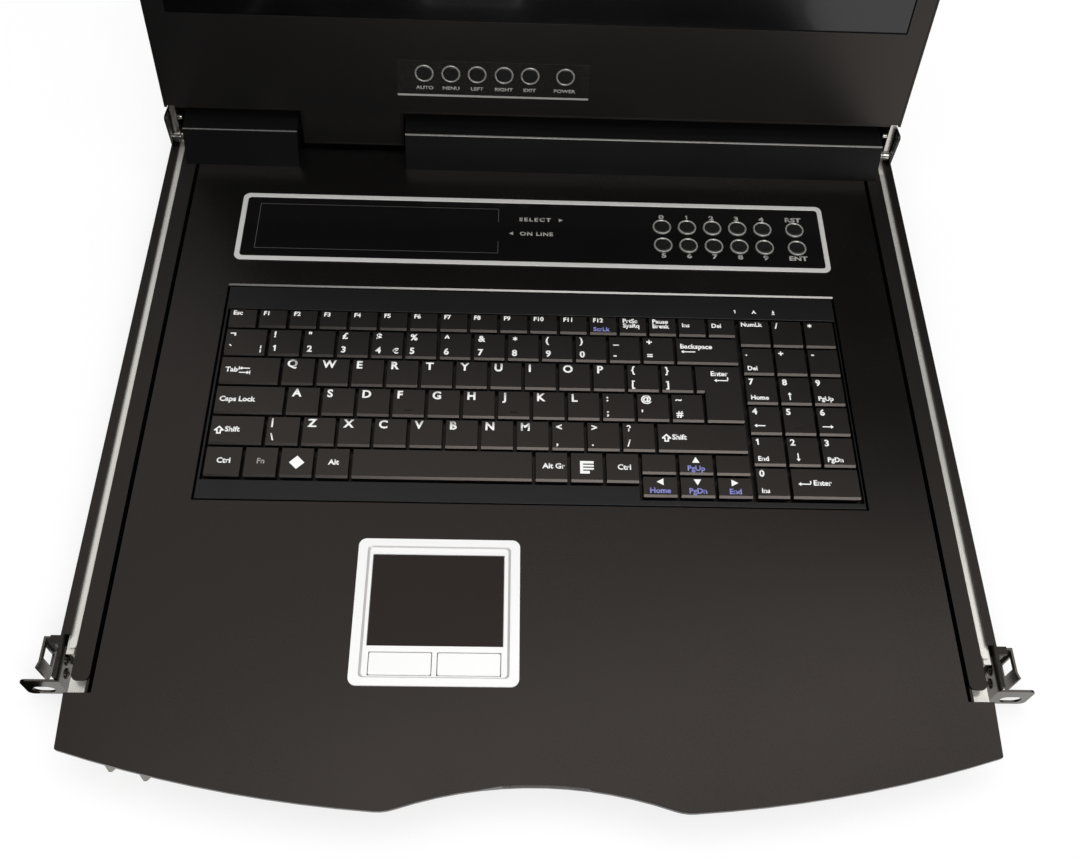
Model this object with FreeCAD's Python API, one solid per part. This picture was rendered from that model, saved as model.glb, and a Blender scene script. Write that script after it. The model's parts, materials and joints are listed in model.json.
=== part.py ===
"""Rackmount LCD console drawer, 1U: slide rails, drawer with keyboard and touch pad, hinged display lid.

Millimetres. +Z up, +Y towards the rear of the rack, +X to the right seen from the front.
The origin lies on the centre line, in the plane of the rack posts' front faces (the rear face of the
rack ears), on the underside of the tray.
"""
import FreeCAD, Part
import math
import os

V = FreeCAD.Vector

# ---------------------------------------------------------------- driving dimensions
# Rack interface
EAR_SPAN = 482.6           # over both ears, the 19 inch panel width
EAR_REACH = 16.3           # ear beyond the slide rail's outer face
SLOT_INSET = 8.75          # slot's centre from the ear's outer edge
SLOT_LENGTH = 10.5
SLOT_WIDTH = 7.2
SLOT_HEIGHT = 8.2          # slot centre above the unit's lower edge
EAR_THICK = 1.2
EAR_BOTTOM = 2.4
EAR_TOP = 19.4
EAR_CORNER = 3.0
EAR_LEG = 16.5             # leg along the rail behind the ear
EAR_LEG_THICK = 1.2
EAR_SCREW_STEP = 3.0       # the leg's second screw sits higher by this much

# Slide rails
RAIL_LENGTH = 440.0
RAIL_HEIGHT = 22.0
RAIL_BOTTOM = 1.0
RAIL_WALL = 1.5
RAIL_LIP = 4.7             # width of the outer member's upper and lower lips
RAIL_LIP_START = 21.0      # the lips begin behind the ear's leg
SHEET = 1.2                # thickness of the middle and inner members, tray, cover and lid shell
BALL_R = 1.0
BALL_GAP = 0.05
BALL_PITCH = 30.0
BALL_COUNT = 6             # balls in one row of a cage
CAGE_THICK = 0.6
CAGE_POCKET_GAP = 0.15
CAGE_SIDE_GAP = 0.3
CAGE_MARGIN = 12.0         # cage beyond its last ball
OUTER_CAGE_START = 125.0
INNER_CAGE_START = 125.0
MID_START = 12.5
MID_LENGTH = 390.0
MID_WEB_INSET = 6.6        # inner face of the middle member's web from the rail's outer face
MID_RISER_SETBACK = 2.5    # the riser and its ledge begin behind the middle member's front
MID_LEDGE = 3.2            # width of the ledge on top of the riser
MID_LEDGE_OUT = 0.8        # ledge beyond the web's outer face
MID_LEDGE_GAP = 0.5        # ledge below the outer member's lip
MID_TIP_GAP = 1.5          # from the web of a neighbour to the middle member's flange tip
INNER_ROW_HALF = 3.55      # inner ball rows above and below the slide's middle
INNER_LIP = 4.0
REAR_BRACKET_START = 380.0
REAR_PLANE = 520.0         # rear face of the rear mounting flanges
REAR_BRACKET_THICK = 1.5
REAR_SLOT_COUNT = 3
SCREW_R = 2.0
SCREW_HEAD_R = 2.6
SCREW_HEAD_H = 1.3
SCREW_GAP = 0.1

# Release latches on the outside of the rails
LATCH_PIVOT_Y = 18.5
LATCH_STANDOFF = 2.6       # pivot from the rail's outer face
LATCH_PIN_R = 1.0
LATCH_KNUCKLE_R = 2.0
LATCH_BORE_GAP = 0.05
LATCH_PLATE_X = 7.0        # plate's inner face from the rail's outer face
LATCH_THICK = 1.2
LATCH_FRONT_Y = 8.0
LATCH_FLAP = 3.3
LATCH_FLARE = 1.0          # the flap's front edge stands out by this much
LATCH_RISE = 3.0           # latch's lower edge above the rail's
LATCH_DROP = 1.5           # latch's upper edge below the rail's
LATCH_WINDOW_LENGTH = 6.3
LATCH_WINDOW_HEIGHT = 12.0
LATCH_LUG = 2.0

# Drawer
DECK_TOP = 23.0            # upper face of the cover plate
COVER_INSET = 19.6         # cover plate's side edge from the rail's outer face
GROOVE = 2.2               # open groove between the cover plate and the side flanges
FLANGE_INSET = 8.8        # outer edge of the tray's side flanges from the rail's outer face
FLANGE_START = -1.6
FLANGE_CORNER = 3.0
TRAY_REAR = 385.0
REAR_LEDGE = 15.0          # ledge of the tray's rear wall under the cover plate
PALM_REAR = -7.5
PALM_INSET = 7.0           # palm rest's rear corner from the rail's outer face
PALM_DRAFT = 1.3           # the palm rest is this much narrower at its front corner
PALM_CORNER_Y = -34.0
PALM_MID_X = 126.2
PALM_MID_Y = -54.3
PALM_TIP_X = 67.0
PALM_TIP_Y = -60.6
PALM_APEX_Y = -49.1
PALM_TIP_FILLET = 24.0
PALM_CORNER_FILLET = 1.2
PALM_LIP = 2.4             # height of the palm rest's turned down edge
PALM_TRAY_INSET = 8.0
COVER_EDGE_DEPTH = 11.0    # turned down side edges of the cover plate
TAB_LENGTH = 9.5           # front tab of the inner slide members

# Keyboard
KEYBOARD_LEFT = -175.2
KEYBOARD_RIGHT = 173.5
KEYBOARD_FRONT = 94.3
KEYBOARD_REAR = 234.0
KEY_LEFT = -172.2
KEY_RIGHT = 114.4
KEY_PITCH = 18.87
FUNCTION_KEY_COUNT = 17
NUMBER_ROW_FIRST = 1.28    # first key of each typing row, in key units
TAB_ROW_FIRST = 1.78
CAPS_ROW_FIRST = 2.02
SHIFT_ROW_FIRST = 1.56
UNIT_KEYS = 12             # unit keys after the first one; the shift row has one fewer
CONTROL_WIDTH = 20.3       # first key of the bottom row
MODIFIER_WIDTH = 18.6      # three before the space bar, two after it
SPACE_WIDTH = 95.4
KEY_GAP = 1.7              # between neighbouring key caps at their base
KEY_CHAMFER = 1.3          # width of the sloping front edge of a key cap
KEY_CHAMFER_DROP = 1.0
KEY_TOP = 23.6
KEY_TRAVEL = 2.2
KEY_STOP_GAP = 0.2         # left under a key cap that is pressed all the way
KEY_STEM_R = 2.5
KEY_STEM_GAP = 0.3
KEY_STEM_DEPTH = 4.2       # stem below the key cap
FUNCTION_ROW_TOP = 216.7
FUNCTION_ROW_DEPTH = 13.7
ROW_PITCH = 19.12
CURSOR_ROW_DEPTH = 13.65
CURSOR_LEFT = 55.4
CURSOR_COLUMNS = 3
CURSOR_ROWS = 2
TYPING_ROWS = 5
PAD_COLUMNS = 3
PAD_LEFT = 115.3
PAD_KEY_WIDTH = 18.6
PAD_ROW_TOP = 216.3
PAD_ROW_PITCH = 19.45
PAD_ROWS = 6               # the last one holds a key and a double key
KEY_BASE_TOP = 18.0
KEY_BASE_THICK = 1.5
KEY_FRAME_DROP = 0.4       # keyboard frame's face below the cover plate
KEY_FRAME_FLANGE = 3.0
KEY_FRAME_GROOVE = 1.0     # open groove between the frame and the deck's opening
KEY_FRAME_SKIRT = 1.0      # thickness of the frame under the groove
FIT_GAP = 0.3              # general clearance of a piece in its opening
KEY_OPENING_GAP = 0.6

# Touch pad
TOUCH_LEFT = -88.0
TOUCH_RIGHT = -7.5
TOUCH_FRONT = -3.0
TOUCH_REAR = 73.5
TOUCH_CORNER = 4.0
TOUCH_RIM = 0.9            # bezel above the deck
TOUCH_FLANGE = 2.6
TOUCH_FIELD_EDGE = 4.0     # raised rim's width round the lower field
TOUCH_DEPTH = 3.4          # bezel below the deck
TOUCH_FLOOR = 1.2
PAD_X0 = -80.3
PAD_X1 = -15.5
PAD_Y0 = 17.4
PAD_Y1 = 65.1
TOUCH_PAD_THICK = 1.8
TOUCH_BUTTON_X = (-79.0, -49.3, -46.4, -16.4)
TOUCH_BUTTON_Y0 = 2.6
TOUCH_BUTTON_Y1 = 13.8
TOUCH_BUTTON_PROUD = 0.3
TOUCH_BUTTON_THICK = 2.2
TOUCH_BUTTON_CORNER = 1.0

# Switch panel
PANEL_HALF = 175.0
PANEL_FRONT = 252.5
PANEL_REAR = 304.1
PANEL_RING = 3.0
PANEL_RING_HEIGHT = 0.7
PANEL_CORNER = 4.0
OVERLAY_THICK = 0.4
BUTTON_R = 5.6
BUTTON_TOP = 24.1
BUTTON_THICK = 3.5
BUTTON_DISH = 0.5
BUTTON_RIM = 1.1
BUTTON_TRAVEL = 0.6
BUTTON_PITCH = 15.2
ENTER_PITCH = 19.5         # last column from the one before it
ENTER_INSET = 18.4         # last column from the panel's end
BUTTON_ROW_Y = (285.0, 270.8)
PANEL_NAMES = (("0", "1", "2", "3", "4", "reset"), ("5", "6", "7", "8", "9", "enter"))
BOARD_THICK = 1.6
SWITCH_SIZE = 6.0
SWITCH_GAP = 0.2
BOARD_DROP = 6.6           # board's upper face below the cover plate's underside
STUD_R = 2.5

# Hinge and hinge covers
PIVOT_Y = 346.4
PIVOT_Z = 27.0
OPEN_ANGLE = 80.0          # lid's slope at rest, from the horizontal
PIN_R = 2.5
PIN_GAP = 0.05
COLLAR_R = 3.6             # collar on the pin between the hinge cover and the arm
COLLAR_COVER_GAP = 0.5
COLLAR_ARM_GAP = 0.3
KNUCKLE_R = 4.0
KNUCKLE_LENGTH = 14.0
COVER_TOP = 43.5           # top of the hinge covers, flush with the closed lid
COVER_END_INSET = 11.3     # hinge covers' outer ends from the lid's side
TONGUE_SIDE_GAP = 1.6      # between a hinge cover and the lid's tongue
COVER_FRONT_Y = 327.2
COVER_LEAN_Y = 336.2       # where the leaning front meets the top
COVER_REAR_Y = 364.0
SIDE_PLATE_THICK = 1.5     # side plate beyond each hinge cover, in line with the lid's side
SIDE_PLATE_FRONT_Y = 341.3
SIDE_PLATE_TOP = 46.8
SIDE_PLATE_REAR_TOP = 42.5
SIDE_PLATE_RAIL_GAP = 0.5  # clear of the rail that it slides over
SIDE_PLATE_FILLET = 2.0
TONGUE = (-143.0, -81.0)
TONGUE_CLEAR = 2.5         # deck window beyond the tongue
TONGUE_SWEEP_GAP = 1.2

# Lid, described along its length S from the pivot and through its thickness N
LID_INSET = 0.7            # lid's side from the rail's outer face
LID_FACE = 2.5
LID_THICK = 19.0
LID_NOTCH = 22.0           # the lid's lower edge from the pivot
LID_TONGUE_END = -1.0
LID_CORNER = 4.0
LID_BEZEL_THICK = 1.5
ARM_INSET = 5.7            # arm's inner face from the lid's side
ARM_THICK = 3.8
ARM_LENGTH = 70.0
ARM_BACK = 3.6
STOP_PIN_S = 14.0          # stop pin on the arm's inner face, from the pivot
STOP_PIN_R = 1.5
STOP_PIN_LENGTH = 3.0
SCREEN_INSET = 12.7        # opening of the lid's bezel from the lid's side
SCREEN_START = 83.7
SCREEN_LENGTH = 243.8
LID_TOP_EDGE = 22.5        # lid beyond the screen's opening
SCREEN_SINK = 1.0
SCREEN_THICK = 5.0
SCREEN_FLANGE = 5.0
MENU_LEFT = -83.4
MENU_RIGHT = 30.6
MENU_START = 35.0
MENU_LENGTH = 23.4
MENU_THICK = 0.4
MENU_BUTTON_S = 50.0
MENU_BUTTON_X = (-67.2, -51.5, -36.0, -20.1, -4.7, 16.2)
MENU_BUTTON_THICK = 4.0
MENU_BUTTON_PROUD = 0.6
MENU_NAMES = ("auto", "menu", "left", "right", "exit", "power")
DISPLAY_BOARD_THICK = 1.6
DISPLAY_BOARD_DROP = 5.2

# Sockets
USB_INSET = 24.0           # outer socket's centre from the palm rest's side
USB_PITCH = 16.5
USB_WIDTH = 13.1
USB_HEIGHT = 5.7
USB_LENGTH = 16.0
USB_WALL = 0.4
USB_BOTTOM = 8.5
USB_SETBACK = 5.9          # shell's front behind the palm rest's edge at the socket's centre
USB_LIP = 5.6              # spring lip that stands out of the shell's lower edge
USB_LIP_WIDTH = 11.0
USB_LIP_TIP = 1.5
USB_TONGUE = 1.9
PORT_COUNT = 8
PORT_PITCH = 42.0
PORT_WIDTH = 30.8
PORT_HEIGHT = 12.5
PORT_SHELL = (16.3, 7.9)
PORT_PROUD = 5.8
PORT_FLANGE = 0.8
PORT_BODY = 9.0
PORT_CENTRE_Z = 11.5

# ---------------------------------------------------------------- derived sizes
RAIL_HALF = EAR_SPAN / 2 - EAR_REACH
SLOT_X = EAR_SPAN / 2 - SLOT_INSET
RAIL_TOP = RAIL_BOTTOM + RAIL_HEIGHT
RAIL_MID = RAIL_BOTTOM + RAIL_HEIGHT / 2
LATCH_BOTTOM = RAIL_BOTTOM + LATCH_RISE
LATCH_TOP = RAIL_TOP - LATCH_DROP
OUTER_WEB = RAIL_HALF - RAIL_WALL
MID_WEB_X = RAIL_HALF - MID_WEB_INSET
COVER_HALF = RAIL_HALF - COVER_INSET
FLANGE_HALF = RAIL_HALF - FLANGE_INSET
PALM_HALF_REAR = RAIL_HALF - PALM_INSET
PALM_HALF_FRONT = PALM_HALF_REAR - PALM_DRAFT
USB_X = (USB_INSET - PALM_HALF_REAR, USB_INSET - PALM_HALF_REAR + USB_PITCH)
LID_HALF = RAIL_HALF - LID_INSET
LID_LENGTH = SCREEN_START + SCREEN_LENGTH + LID_TOP_EDGE
SCREEN_HALF = LID_HALF - SCREEN_INSET
ARM_X = LID_HALF - ARM_INSET
COVER_LEFT = (-LID_HALF + COVER_END_INSET, TONGUE[0] - TONGUE_SIDE_GAP)
COVER_RIGHT = (TONGUE[1] + TONGUE_SIDE_GAP, LID_HALF - COVER_END_INSET)
OUTER_ROW_HALF = RAIL_HEIGHT / 2 - RAIL_WALL - BALL_GAP - BALL_R
TRAY_WALL = COVER_HALF + GROOVE
INNER_WEB = TRAY_WALL + SHEET
PLATE_UNDER = DECK_TOP - SHEET
CAP_BOTTOM = KEY_BASE_TOP + KEY_TRAVEL + KEY_STOP_GAP
LID_BACK = LID_FACE - LID_THICK
PIN_INNER = COVER_RIGHT[1] - SHEET - KNUCKLE_LENGTH


# ---------------------------------------------------------------- shape helpers
def box(x0, x1, y0, y1, z0, z1):
    return Part.makeBox(x1 - x0, y1 - y0, z1 - z0, V(x0, y0, z0))


def cyl(radius, start, length, axis):
    return Part.makeCylinder(radius, length, V(*start), V(*axis))


def rounded_box(x0, x1, y0, y1, z0, z1, radius):
    block = box(x0, x1, y0, y1, z0, z1)
    return block.makeFillet(radius, upright_edges(block))


def upright_edges(shape):
    edges = []
    for edge in shape.Edges:
        a = edge.Vertexes[0].Point
        b = edge.Vertexes[-1].Point
        if abs(a.x - b.x) < 1e-6 and abs(a.y - b.y) < 1e-6:
            edges.append(edge)
    return edges


def prism_x(points, x0, x1):
    """Solid of a (y, z) outline, drawn along X."""
    corners = [V(x0, y, z) for y, z in points]
    face = Part.Face(Part.makePolygon(corners + corners[:1]))
    return face.extrude(V(x1 - x0, 0, 0))


def prism_z(points, z0, z1):
    """Solid of an (x, y) outline, drawn upwards."""
    corners = [V(x, y, z0) for x, y in points]
    face = Part.Face(Part.makePolygon(corners + corners[:1]))
    return face.extrude(V(0, 0, z1 - z0))


def slot_y(cx, cz, y0, y1, length, width):
    """Oval through-slot along Y, its long way along X."""
    r = width / 2
    half = length / 2 - r
    ends = [cyl(r, (cx + side * half, y0, cz), y1 - y0, (0, 1, 0)) for side in (-1, 1)]
    return box(cx - half, cx + half, y0, y1, cz - r, cz + r).fuse(ends).removeSplitter()


def mirrored(shape):
    return shape.mirror(V(0, 0, 0), V(1, 0, 0))


def union(shapes):
    return shapes[0].fuse(shapes[1:]).removeSplitter()


def save(name, shapes):
    if isinstance(shapes, list):
        shapes = Part.makeCompound(shapes)
    shapes.exportStep("parts/" + name + ".step")


def save_pair(name, right):
    save(name + "_right", right)
    save(name + "_left", mirrored(right))


# ---------------------------------------------------------------- rack side
def outer_rail():
    """C-shaped outer member, open towards the drawer, with the latch's pin and lugs."""
    web = box(OUTER_WEB, RAIL_HALF, 0, RAIL_LENGTH, RAIL_BOTTOM, RAIL_TOP)
    tip = RAIL_HALF - RAIL_LIP
    upper = box(tip, RAIL_HALF, RAIL_LIP_START, RAIL_LENGTH, RAIL_TOP - RAIL_WALL, RAIL_TOP)
    lower = box(tip, RAIL_HALF, RAIL_LIP_START, RAIL_LENGTH, RAIL_BOTTOM, RAIL_BOTTOM + RAIL_WALL)
    pivot_x = RAIL_HALF + LATCH_STANDOFF
    pin = cyl(LATCH_PIN_R, (pivot_x, LATCH_PIVOT_Y, RAIL_BOTTOM), RAIL_HEIGHT, (0, 0, 1))
    reach = LATCH_KNUCKLE_R
    shapes = [web, upper, lower, pin]
    for z0 in (RAIL_BOTTOM, RAIL_TOP - LATCH_LUG):
        shapes.append(box(OUTER_WEB, pivot_x + reach, LATCH_PIVOT_Y - reach,
                          LATCH_PIVOT_Y + reach, z0, z0 + LATCH_LUG))
    rail = union(shapes)
    return rail.cut(rail_screw_holes(SCREW_R + SCREW_GAP))


def ear_screw_places():
    return [(EAR_LEG * k / 3, RAIL_MID + (k - 1) * EAR_SCREW_STEP) for k in (1, 2)]


def rear_screw_places():
    return [(REAR_BRACKET_START + k * (RAIL_LENGTH - REAR_BRACKET_START) / 3, RAIL_MID) for k in (1, 2)]


def rail_screw_holes(radius):
    places = ear_screw_places() + rear_screw_places()
    start = OUTER_WEB - EAR_LEG_THICK
    length = RAIL_WALL + EAR_LEG_THICK + REAR_BRACKET_THICK
    return [cyl(radius, (start, y, z), length, (1, 0, 0)) for y, z in places]


def rail_screws():
    """Pan-head screws: two through each ear's leg, two through each rear bracket."""
    screws = []
    start = OUTER_WEB - EAR_LEG_THICK
    for y, z in ear_screw_places():
        head = cyl(SCREW_HEAD_R, (start - SCREW_HEAD_H, y, z), SCREW_HEAD_H, (1, 0, 0))
        screws.append(head.fuse(cyl(SCREW_R, (start, y, z), EAR_LEG_THICK + RAIL_WALL, (1, 0, 0))))
    end = RAIL_HALF + REAR_BRACKET_THICK
    for y, z in rear_screw_places():
        head = cyl(SCREW_HEAD_R, (end, y, z), SCREW_HEAD_H, (1, 0, 0))
        screws.append(head.fuse(cyl(SCREW_R, (OUTER_WEB, y, z), end - OUTER_WEB, (1, 0, 0))))
    return screws + [mirrored(screw) for screw in screws]


def rack_ear():
    """Angle bracket: a slotted ear in front of the post and a leg screwed inside the rail."""
    inner = OUTER_WEB - EAR_LEG_THICK
    ear = box(inner, EAR_SPAN / 2, -EAR_THICK, 0, EAR_BOTTOM, EAR_TOP)
    outer_edges = []
    for edge in ear.Edges:
        a = edge.Vertexes[0].Point
        b = edge.Vertexes[-1].Point
        if abs(a.y - b.y) > EAR_THICK / 2 and min(a.x, b.x) > EAR_SPAN / 2 - 1:
            outer_edges.append(edge)
    ear = ear.makeFillet(EAR_CORNER, outer_edges)
    slot = slot_y(SLOT_X, SLOT_HEIGHT, -EAR_THICK, 0, SLOT_LENGTH, SLOT_WIDTH)
    leg = box(inner, OUTER_WEB, -EAR_THICK, EAR_LEG, EAR_BOTTOM, EAR_TOP)
    return union([ear, leg]).cut([slot] + rail_screw_holes(SCREW_R + SCREW_GAP))


def rear_bracket():
    """Slotted angle that reaches from the outer member back to the rear rack post."""
    outer = RAIL_HALF + REAR_BRACKET_THICK
    low = RAIL_BOTTOM + RAIL_WALL
    high = RAIL_TOP - RAIL_WALL
    leg = box(RAIL_HALF, outer, REAR_BRACKET_START, REAR_PLANE, low, high)
    flange = box(RAIL_HALF, EAR_SPAN / 2, REAR_PLANE - REAR_BRACKET_THICK, REAR_PLANE, low, high)
    hole = slot_y(SLOT_X, RAIL_MID, REAR_PLANE - REAR_BRACKET_THICK, REAR_PLANE,
                  SLOT_LENGTH, SLOT_WIDTH)
    cuts = rail_screw_holes(SCREW_R + SCREW_GAP)
    free = REAR_PLANE - RAIL_LENGTH
    for k in range(REAR_SLOT_COUNT):
        y = RAIL_LENGTH + free * (k + 0.5) / REAR_SLOT_COUNT
        cuts.append(box(RAIL_HALF, outer, y - SLOT_LENGTH / 2, y + SLOT_LENGTH / 2,
                        RAIL_MID - SCREW_R, RAIL_MID + SCREW_R))
    return union([leg, flange]).cut(cuts + [hole])


def release_latch():
    """Formed plate on a vertical pin: rear web, side plate with a window, flared front flap."""
    pivot_x = RAIL_HALF + LATCH_STANDOFF
    plate_x = RAIL_HALF + LATCH_PLATE_X
    knuckle = cyl(LATCH_KNUCKLE_R, (pivot_x, LATCH_PIVOT_Y, LATCH_BOTTOM),
                  LATCH_TOP - LATCH_BOTTOM, (0, 0, 1))
    web_y = LATCH_PIVOT_Y + LATCH_KNUCKLE_R - LATCH_THICK
    web = box(pivot_x, plate_x + LATCH_THICK, web_y, web_y + LATCH_THICK, LATCH_BOTTOM, LATCH_TOP)
    plate = box(plate_x, plate_x + LATCH_THICK, LATCH_FRONT_Y, web_y + LATCH_THICK, LATCH_BOTTOM, LATCH_TOP)
    front = LATCH_FRONT_Y - LATCH_FLAP
    flap = prism_z([(plate_x, LATCH_FRONT_Y), (plate_x + LATCH_THICK, LATCH_FRONT_Y),
                    (plate_x + LATCH_THICK + LATCH_FLARE, front), (plate_x + LATCH_FLARE, front)],
                   LATCH_BOTTOM, LATCH_TOP)
    mid_y = (LATCH_FRONT_Y + web_y) / 2
    mid_z = (LATCH_BOTTOM + LATCH_TOP) / 2
    window = box(plate_x, plate_x + LATCH_THICK, mid_y - LATCH_WINDOW_LENGTH / 2,
                 mid_y + LATCH_WINDOW_LENGTH / 2, mid_z - LATCH_WINDOW_HEIGHT / 2,
                 mid_z + LATCH_WINDOW_HEIGHT / 2)
    bore = cyl(LATCH_PIN_R + LATCH_BORE_GAP, (pivot_x, LATCH_PIVOT_Y, 0), RAIL_TOP + LATCH_TOP, (0, 0, 1))
    reach = LATCH_KNUCKLE_R + FIT_GAP
    lug_room = box(RAIL_HALF, pivot_x + reach, LATCH_PIVOT_Y - reach, LATCH_PIVOT_Y + reach,
                   RAIL_TOP - LATCH_LUG - FIT_GAP, LATCH_TOP)
    return union([knuckle, web, plate, flap]).cut([window, bore, lug_room])


# ---------------------------------------------------------------- slides
def mid_rail():
    """Middle member: a web with two pairs of ball tracks, and a riser with a ledge that covers the balls."""
    y0 = MID_START
    y1 = MID_START + MID_LENGTH
    outer_tip = OUTER_WEB - MID_TIP_GAP
    inner_tip = INNER_WEB + SHEET + MID_TIP_GAP
    outer_track = OUTER_ROW_HALF - BALL_R - BALL_GAP
    inner_track = INNER_ROW_HALF - BALL_R - BALL_GAP
    shapes = [box(MID_WEB_X, MID_WEB_X + SHEET, y0, y1, RAIL_MID - outer_track, RAIL_MID + outer_track)]
    for side in (-1, 1):
        spans = ((outer_track, MID_WEB_X, outer_tip), (inner_track, inner_tip, MID_WEB_X + SHEET))
        for track, x0, x1 in spans:
            edge = RAIL_MID + side * track
            back = edge - side * SHEET
            shapes.append(box(x0, x1, y0, y1, min(edge, back), max(edge, back)))
    riser_y = y0 + MID_RISER_SETBACK
    top = RAIL_TOP - RAIL_WALL - MID_LEDGE_GAP
    x1 = MID_WEB_X + SHEET
    shapes.append(box(MID_WEB_X, x1, riser_y, y1, RAIL_MID, top))
    ledge_x = x1 + MID_LEDGE_OUT
    ledge = box(ledge_x - MID_LEDGE, ledge_x, riser_y, y1, top - SHEET, top)
    corner = [e for e in upright_edges(ledge)
              if e.Vertexes[0].Point.x < MID_WEB_X and e.Vertexes[0].Point.y < riser_y + 1]
    shapes.append(ledge.makeFillet(MID_LEDGE / 2, corner))
    return union(shapes)


def ball_cage(web_x, into, row_half, start):
    """C-shaped strip with pockets, and its balls. into is +1 where the web lies on the outer side."""
    length = 2 * CAGE_MARGIN + BALL_PITCH * (BALL_COUNT - 1)
    web_near = web_x - into * CAGE_SIDE_GAP
    web_far = web_near - into * CAGE_THICK
    ball_x = web_x - into * (CAGE_SIDE_GAP + BALL_R + BALL_GAP)
    tip = ball_x - into * (BALL_R + CAGE_THICK)
    low_x, high_x = sorted((web_near, web_far))
    shapes = [box(low_x, high_x, start, start + length, RAIL_MID - row_half, RAIL_MID + row_half)]
    balls = []
    pockets = []
    for side in (-1, 1):
        z = RAIL_MID + side * row_half
        low_x, high_x = sorted((web_near, tip))
        shapes.append(box(low_x, high_x, start, start + length, z - CAGE_THICK / 2, z + CAGE_THICK / 2))
        for k in range(BALL_COUNT):
            y = start + CAGE_MARGIN + k * BALL_PITCH
            balls.append(Part.makeSphere(BALL_R, V(ball_x, y, z)))
            pockets.append(cyl(BALL_R + CAGE_POCKET_GAP, (ball_x, y, z - BALL_R), 2 * BALL_R, (0, 0, 1)))
    return [union(shapes).cut(pockets)] + balls


def outer_cage():
    return ball_cage(OUTER_WEB, 1, OUTER_ROW_HALF, OUTER_CAGE_START)


def inner_cage():
    return ball_cage(INNER_WEB + SHEET, -1, INNER_ROW_HALF, INNER_CAGE_START)


def inner_rail():
    """Inner member screwed to the tray's wall, with a tab at the front under the side flange."""
    y0 = FLANGE_START
    y1 = TRAY_REAR
    half = INNER_ROW_HALF + BALL_R + BALL_GAP
    tip = INNER_WEB + SHEET + INNER_LIP
    top = RAIL_MID + half + SHEET
    shapes = [box(INNER_WEB, INNER_WEB + SHEET, y0, y1, RAIL_MID - half - SHEET, top)]
    shapes.append(box(INNER_WEB, tip, y0, y1, RAIL_MID + half, top))
    shapes.append(box(INNER_WEB, tip, y0, y1, RAIL_MID - half - SHEET, RAIL_MID - half))
    tab_front = PALM_REAR + SHEET
    shapes.append(box(INNER_WEB, PALM_HALF_REAR, tab_front, tab_front + TAB_LENGTH, top - SHEET, top))
    return union(shapes)


# ---------------------------------------------------------------- drawer
def palm_bow(inset=0, z=0):
    """Arc of the palm rest's bowed front, right half."""
    return Part.Arc(V(PALM_HALF_FRONT - inset, PALM_CORNER_Y + inset, z),
                    V(PALM_MID_X, PALM_MID_Y + inset, z), V(PALM_TIP_X, PALM_TIP_Y + inset, z))


def usb_front_y(x):
    """Front face of the socket at x, a fixed distance behind the palm rest's edge."""
    bow = palm_bow().toShape().Curve
    edge = bow.Center.y - math.sqrt(bow.Radius ** 2 - (abs(x) - bow.Center.x) ** 2)
    return edge + USB_SETBACK


def palm_solid(inset, z0, z1, rear):
    """Palm rest outline: straight sides, bowed front and a shallow hollow in the middle."""
    half_rear = PALM_HALF_REAR - inset
    half_front = PALM_HALF_FRONT - inset
    def at(x, y):
        return V(x, y, z0)
    corner_r = at(half_front, PALM_CORNER_Y + inset)
    corner_l = at(-half_front, PALM_CORNER_Y + inset)
    tip_r = at(PALM_TIP_X, PALM_TIP_Y + inset)
    tip_l = at(-PALM_TIP_X, PALM_TIP_Y + inset)
    bow_r = palm_bow(inset, z0).toShape()
    bow_l = mirrored(bow_r)
    hollow = Part.Arc(tip_r, at(0, PALM_APEX_Y + inset), tip_l).toShape()
    side_l = Part.makeLine(corner_l, at(-half_rear, rear))
    back = Part.makeLine(at(-half_rear, rear), at(half_rear, rear))
    side_r = Part.makeLine(at(half_rear, rear), corner_r)
    face = Part.Face(Part.Wire([bow_r, hollow, bow_l, side_l, back, side_r]))
    solid = face.extrude(V(0, 0, z1 - z0))
    tips = [e for e in upright_edges(solid) if abs(abs(e.Vertexes[0].Point.x) - PALM_TIP_X) < 1]
    solid = solid.makeFillet(PALM_TIP_FILLET, tips)
    corners = [e for e in upright_edges(solid)
               if abs(abs(e.Vertexes[0].Point.x) - half_front) < 0.01 and e.Vertexes[0].Point.y < rear - 1]
    return solid.makeFillet(PALM_CORNER_FILLET, corners)


def keyboard_outline(gap):
    """Opening round the keys: the cursor keys reach further to the front than the rest."""
    front = FUNCTION_ROW_TOP - FUNCTION_ROW_DEPTH - TYPING_ROWS * ROW_PITCH
    cursor_front = front + ROW_PITCH - CURSOR_ROWS * CURSOR_ROW_DEPTH
    right = PAD_LEFT + PAD_COLUMNS * PAD_KEY_WIDTH
    return [(KEY_LEFT - gap, front - gap), (CURSOR_LEFT - gap, front - gap),
            (CURSOR_LEFT - gap, cursor_front - gap), (right + gap, cursor_front - gap),
            (right + gap, FUNCTION_ROW_TOP + gap), (KEY_LEFT - gap, FUNCTION_ROW_TOP + gap)]


def button_places():
    enter_x = PANEL_HALF - ENTER_INSET
    for names, y in zip(PANEL_NAMES, BUTTON_ROW_Y):
        digits = len(names) - 1
        for column, name in enumerate(names[:-1]):
            yield name, enter_x - ENTER_PITCH - (digits - 1 - column) * BUTTON_PITCH, y
        yield names[-1], enter_x, y


def tongue_window():
    """Opening in the deck that the lid's tongue swings through."""
    reach = math.hypot(LID_TONGUE_END, LID_BACK) + TONGUE_SWEEP_GAP
    front = PIVOT_Y - math.hypot(LID_FACE, LID_TONGUE_END) - TONGUE_SWEEP_GAP
    return box(TONGUE[0] - TONGUE_CLEAR, TONGUE[1] + TONGUE_CLEAR, front, PIVOT_Y + reach, 0, DECK_TOP)


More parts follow.
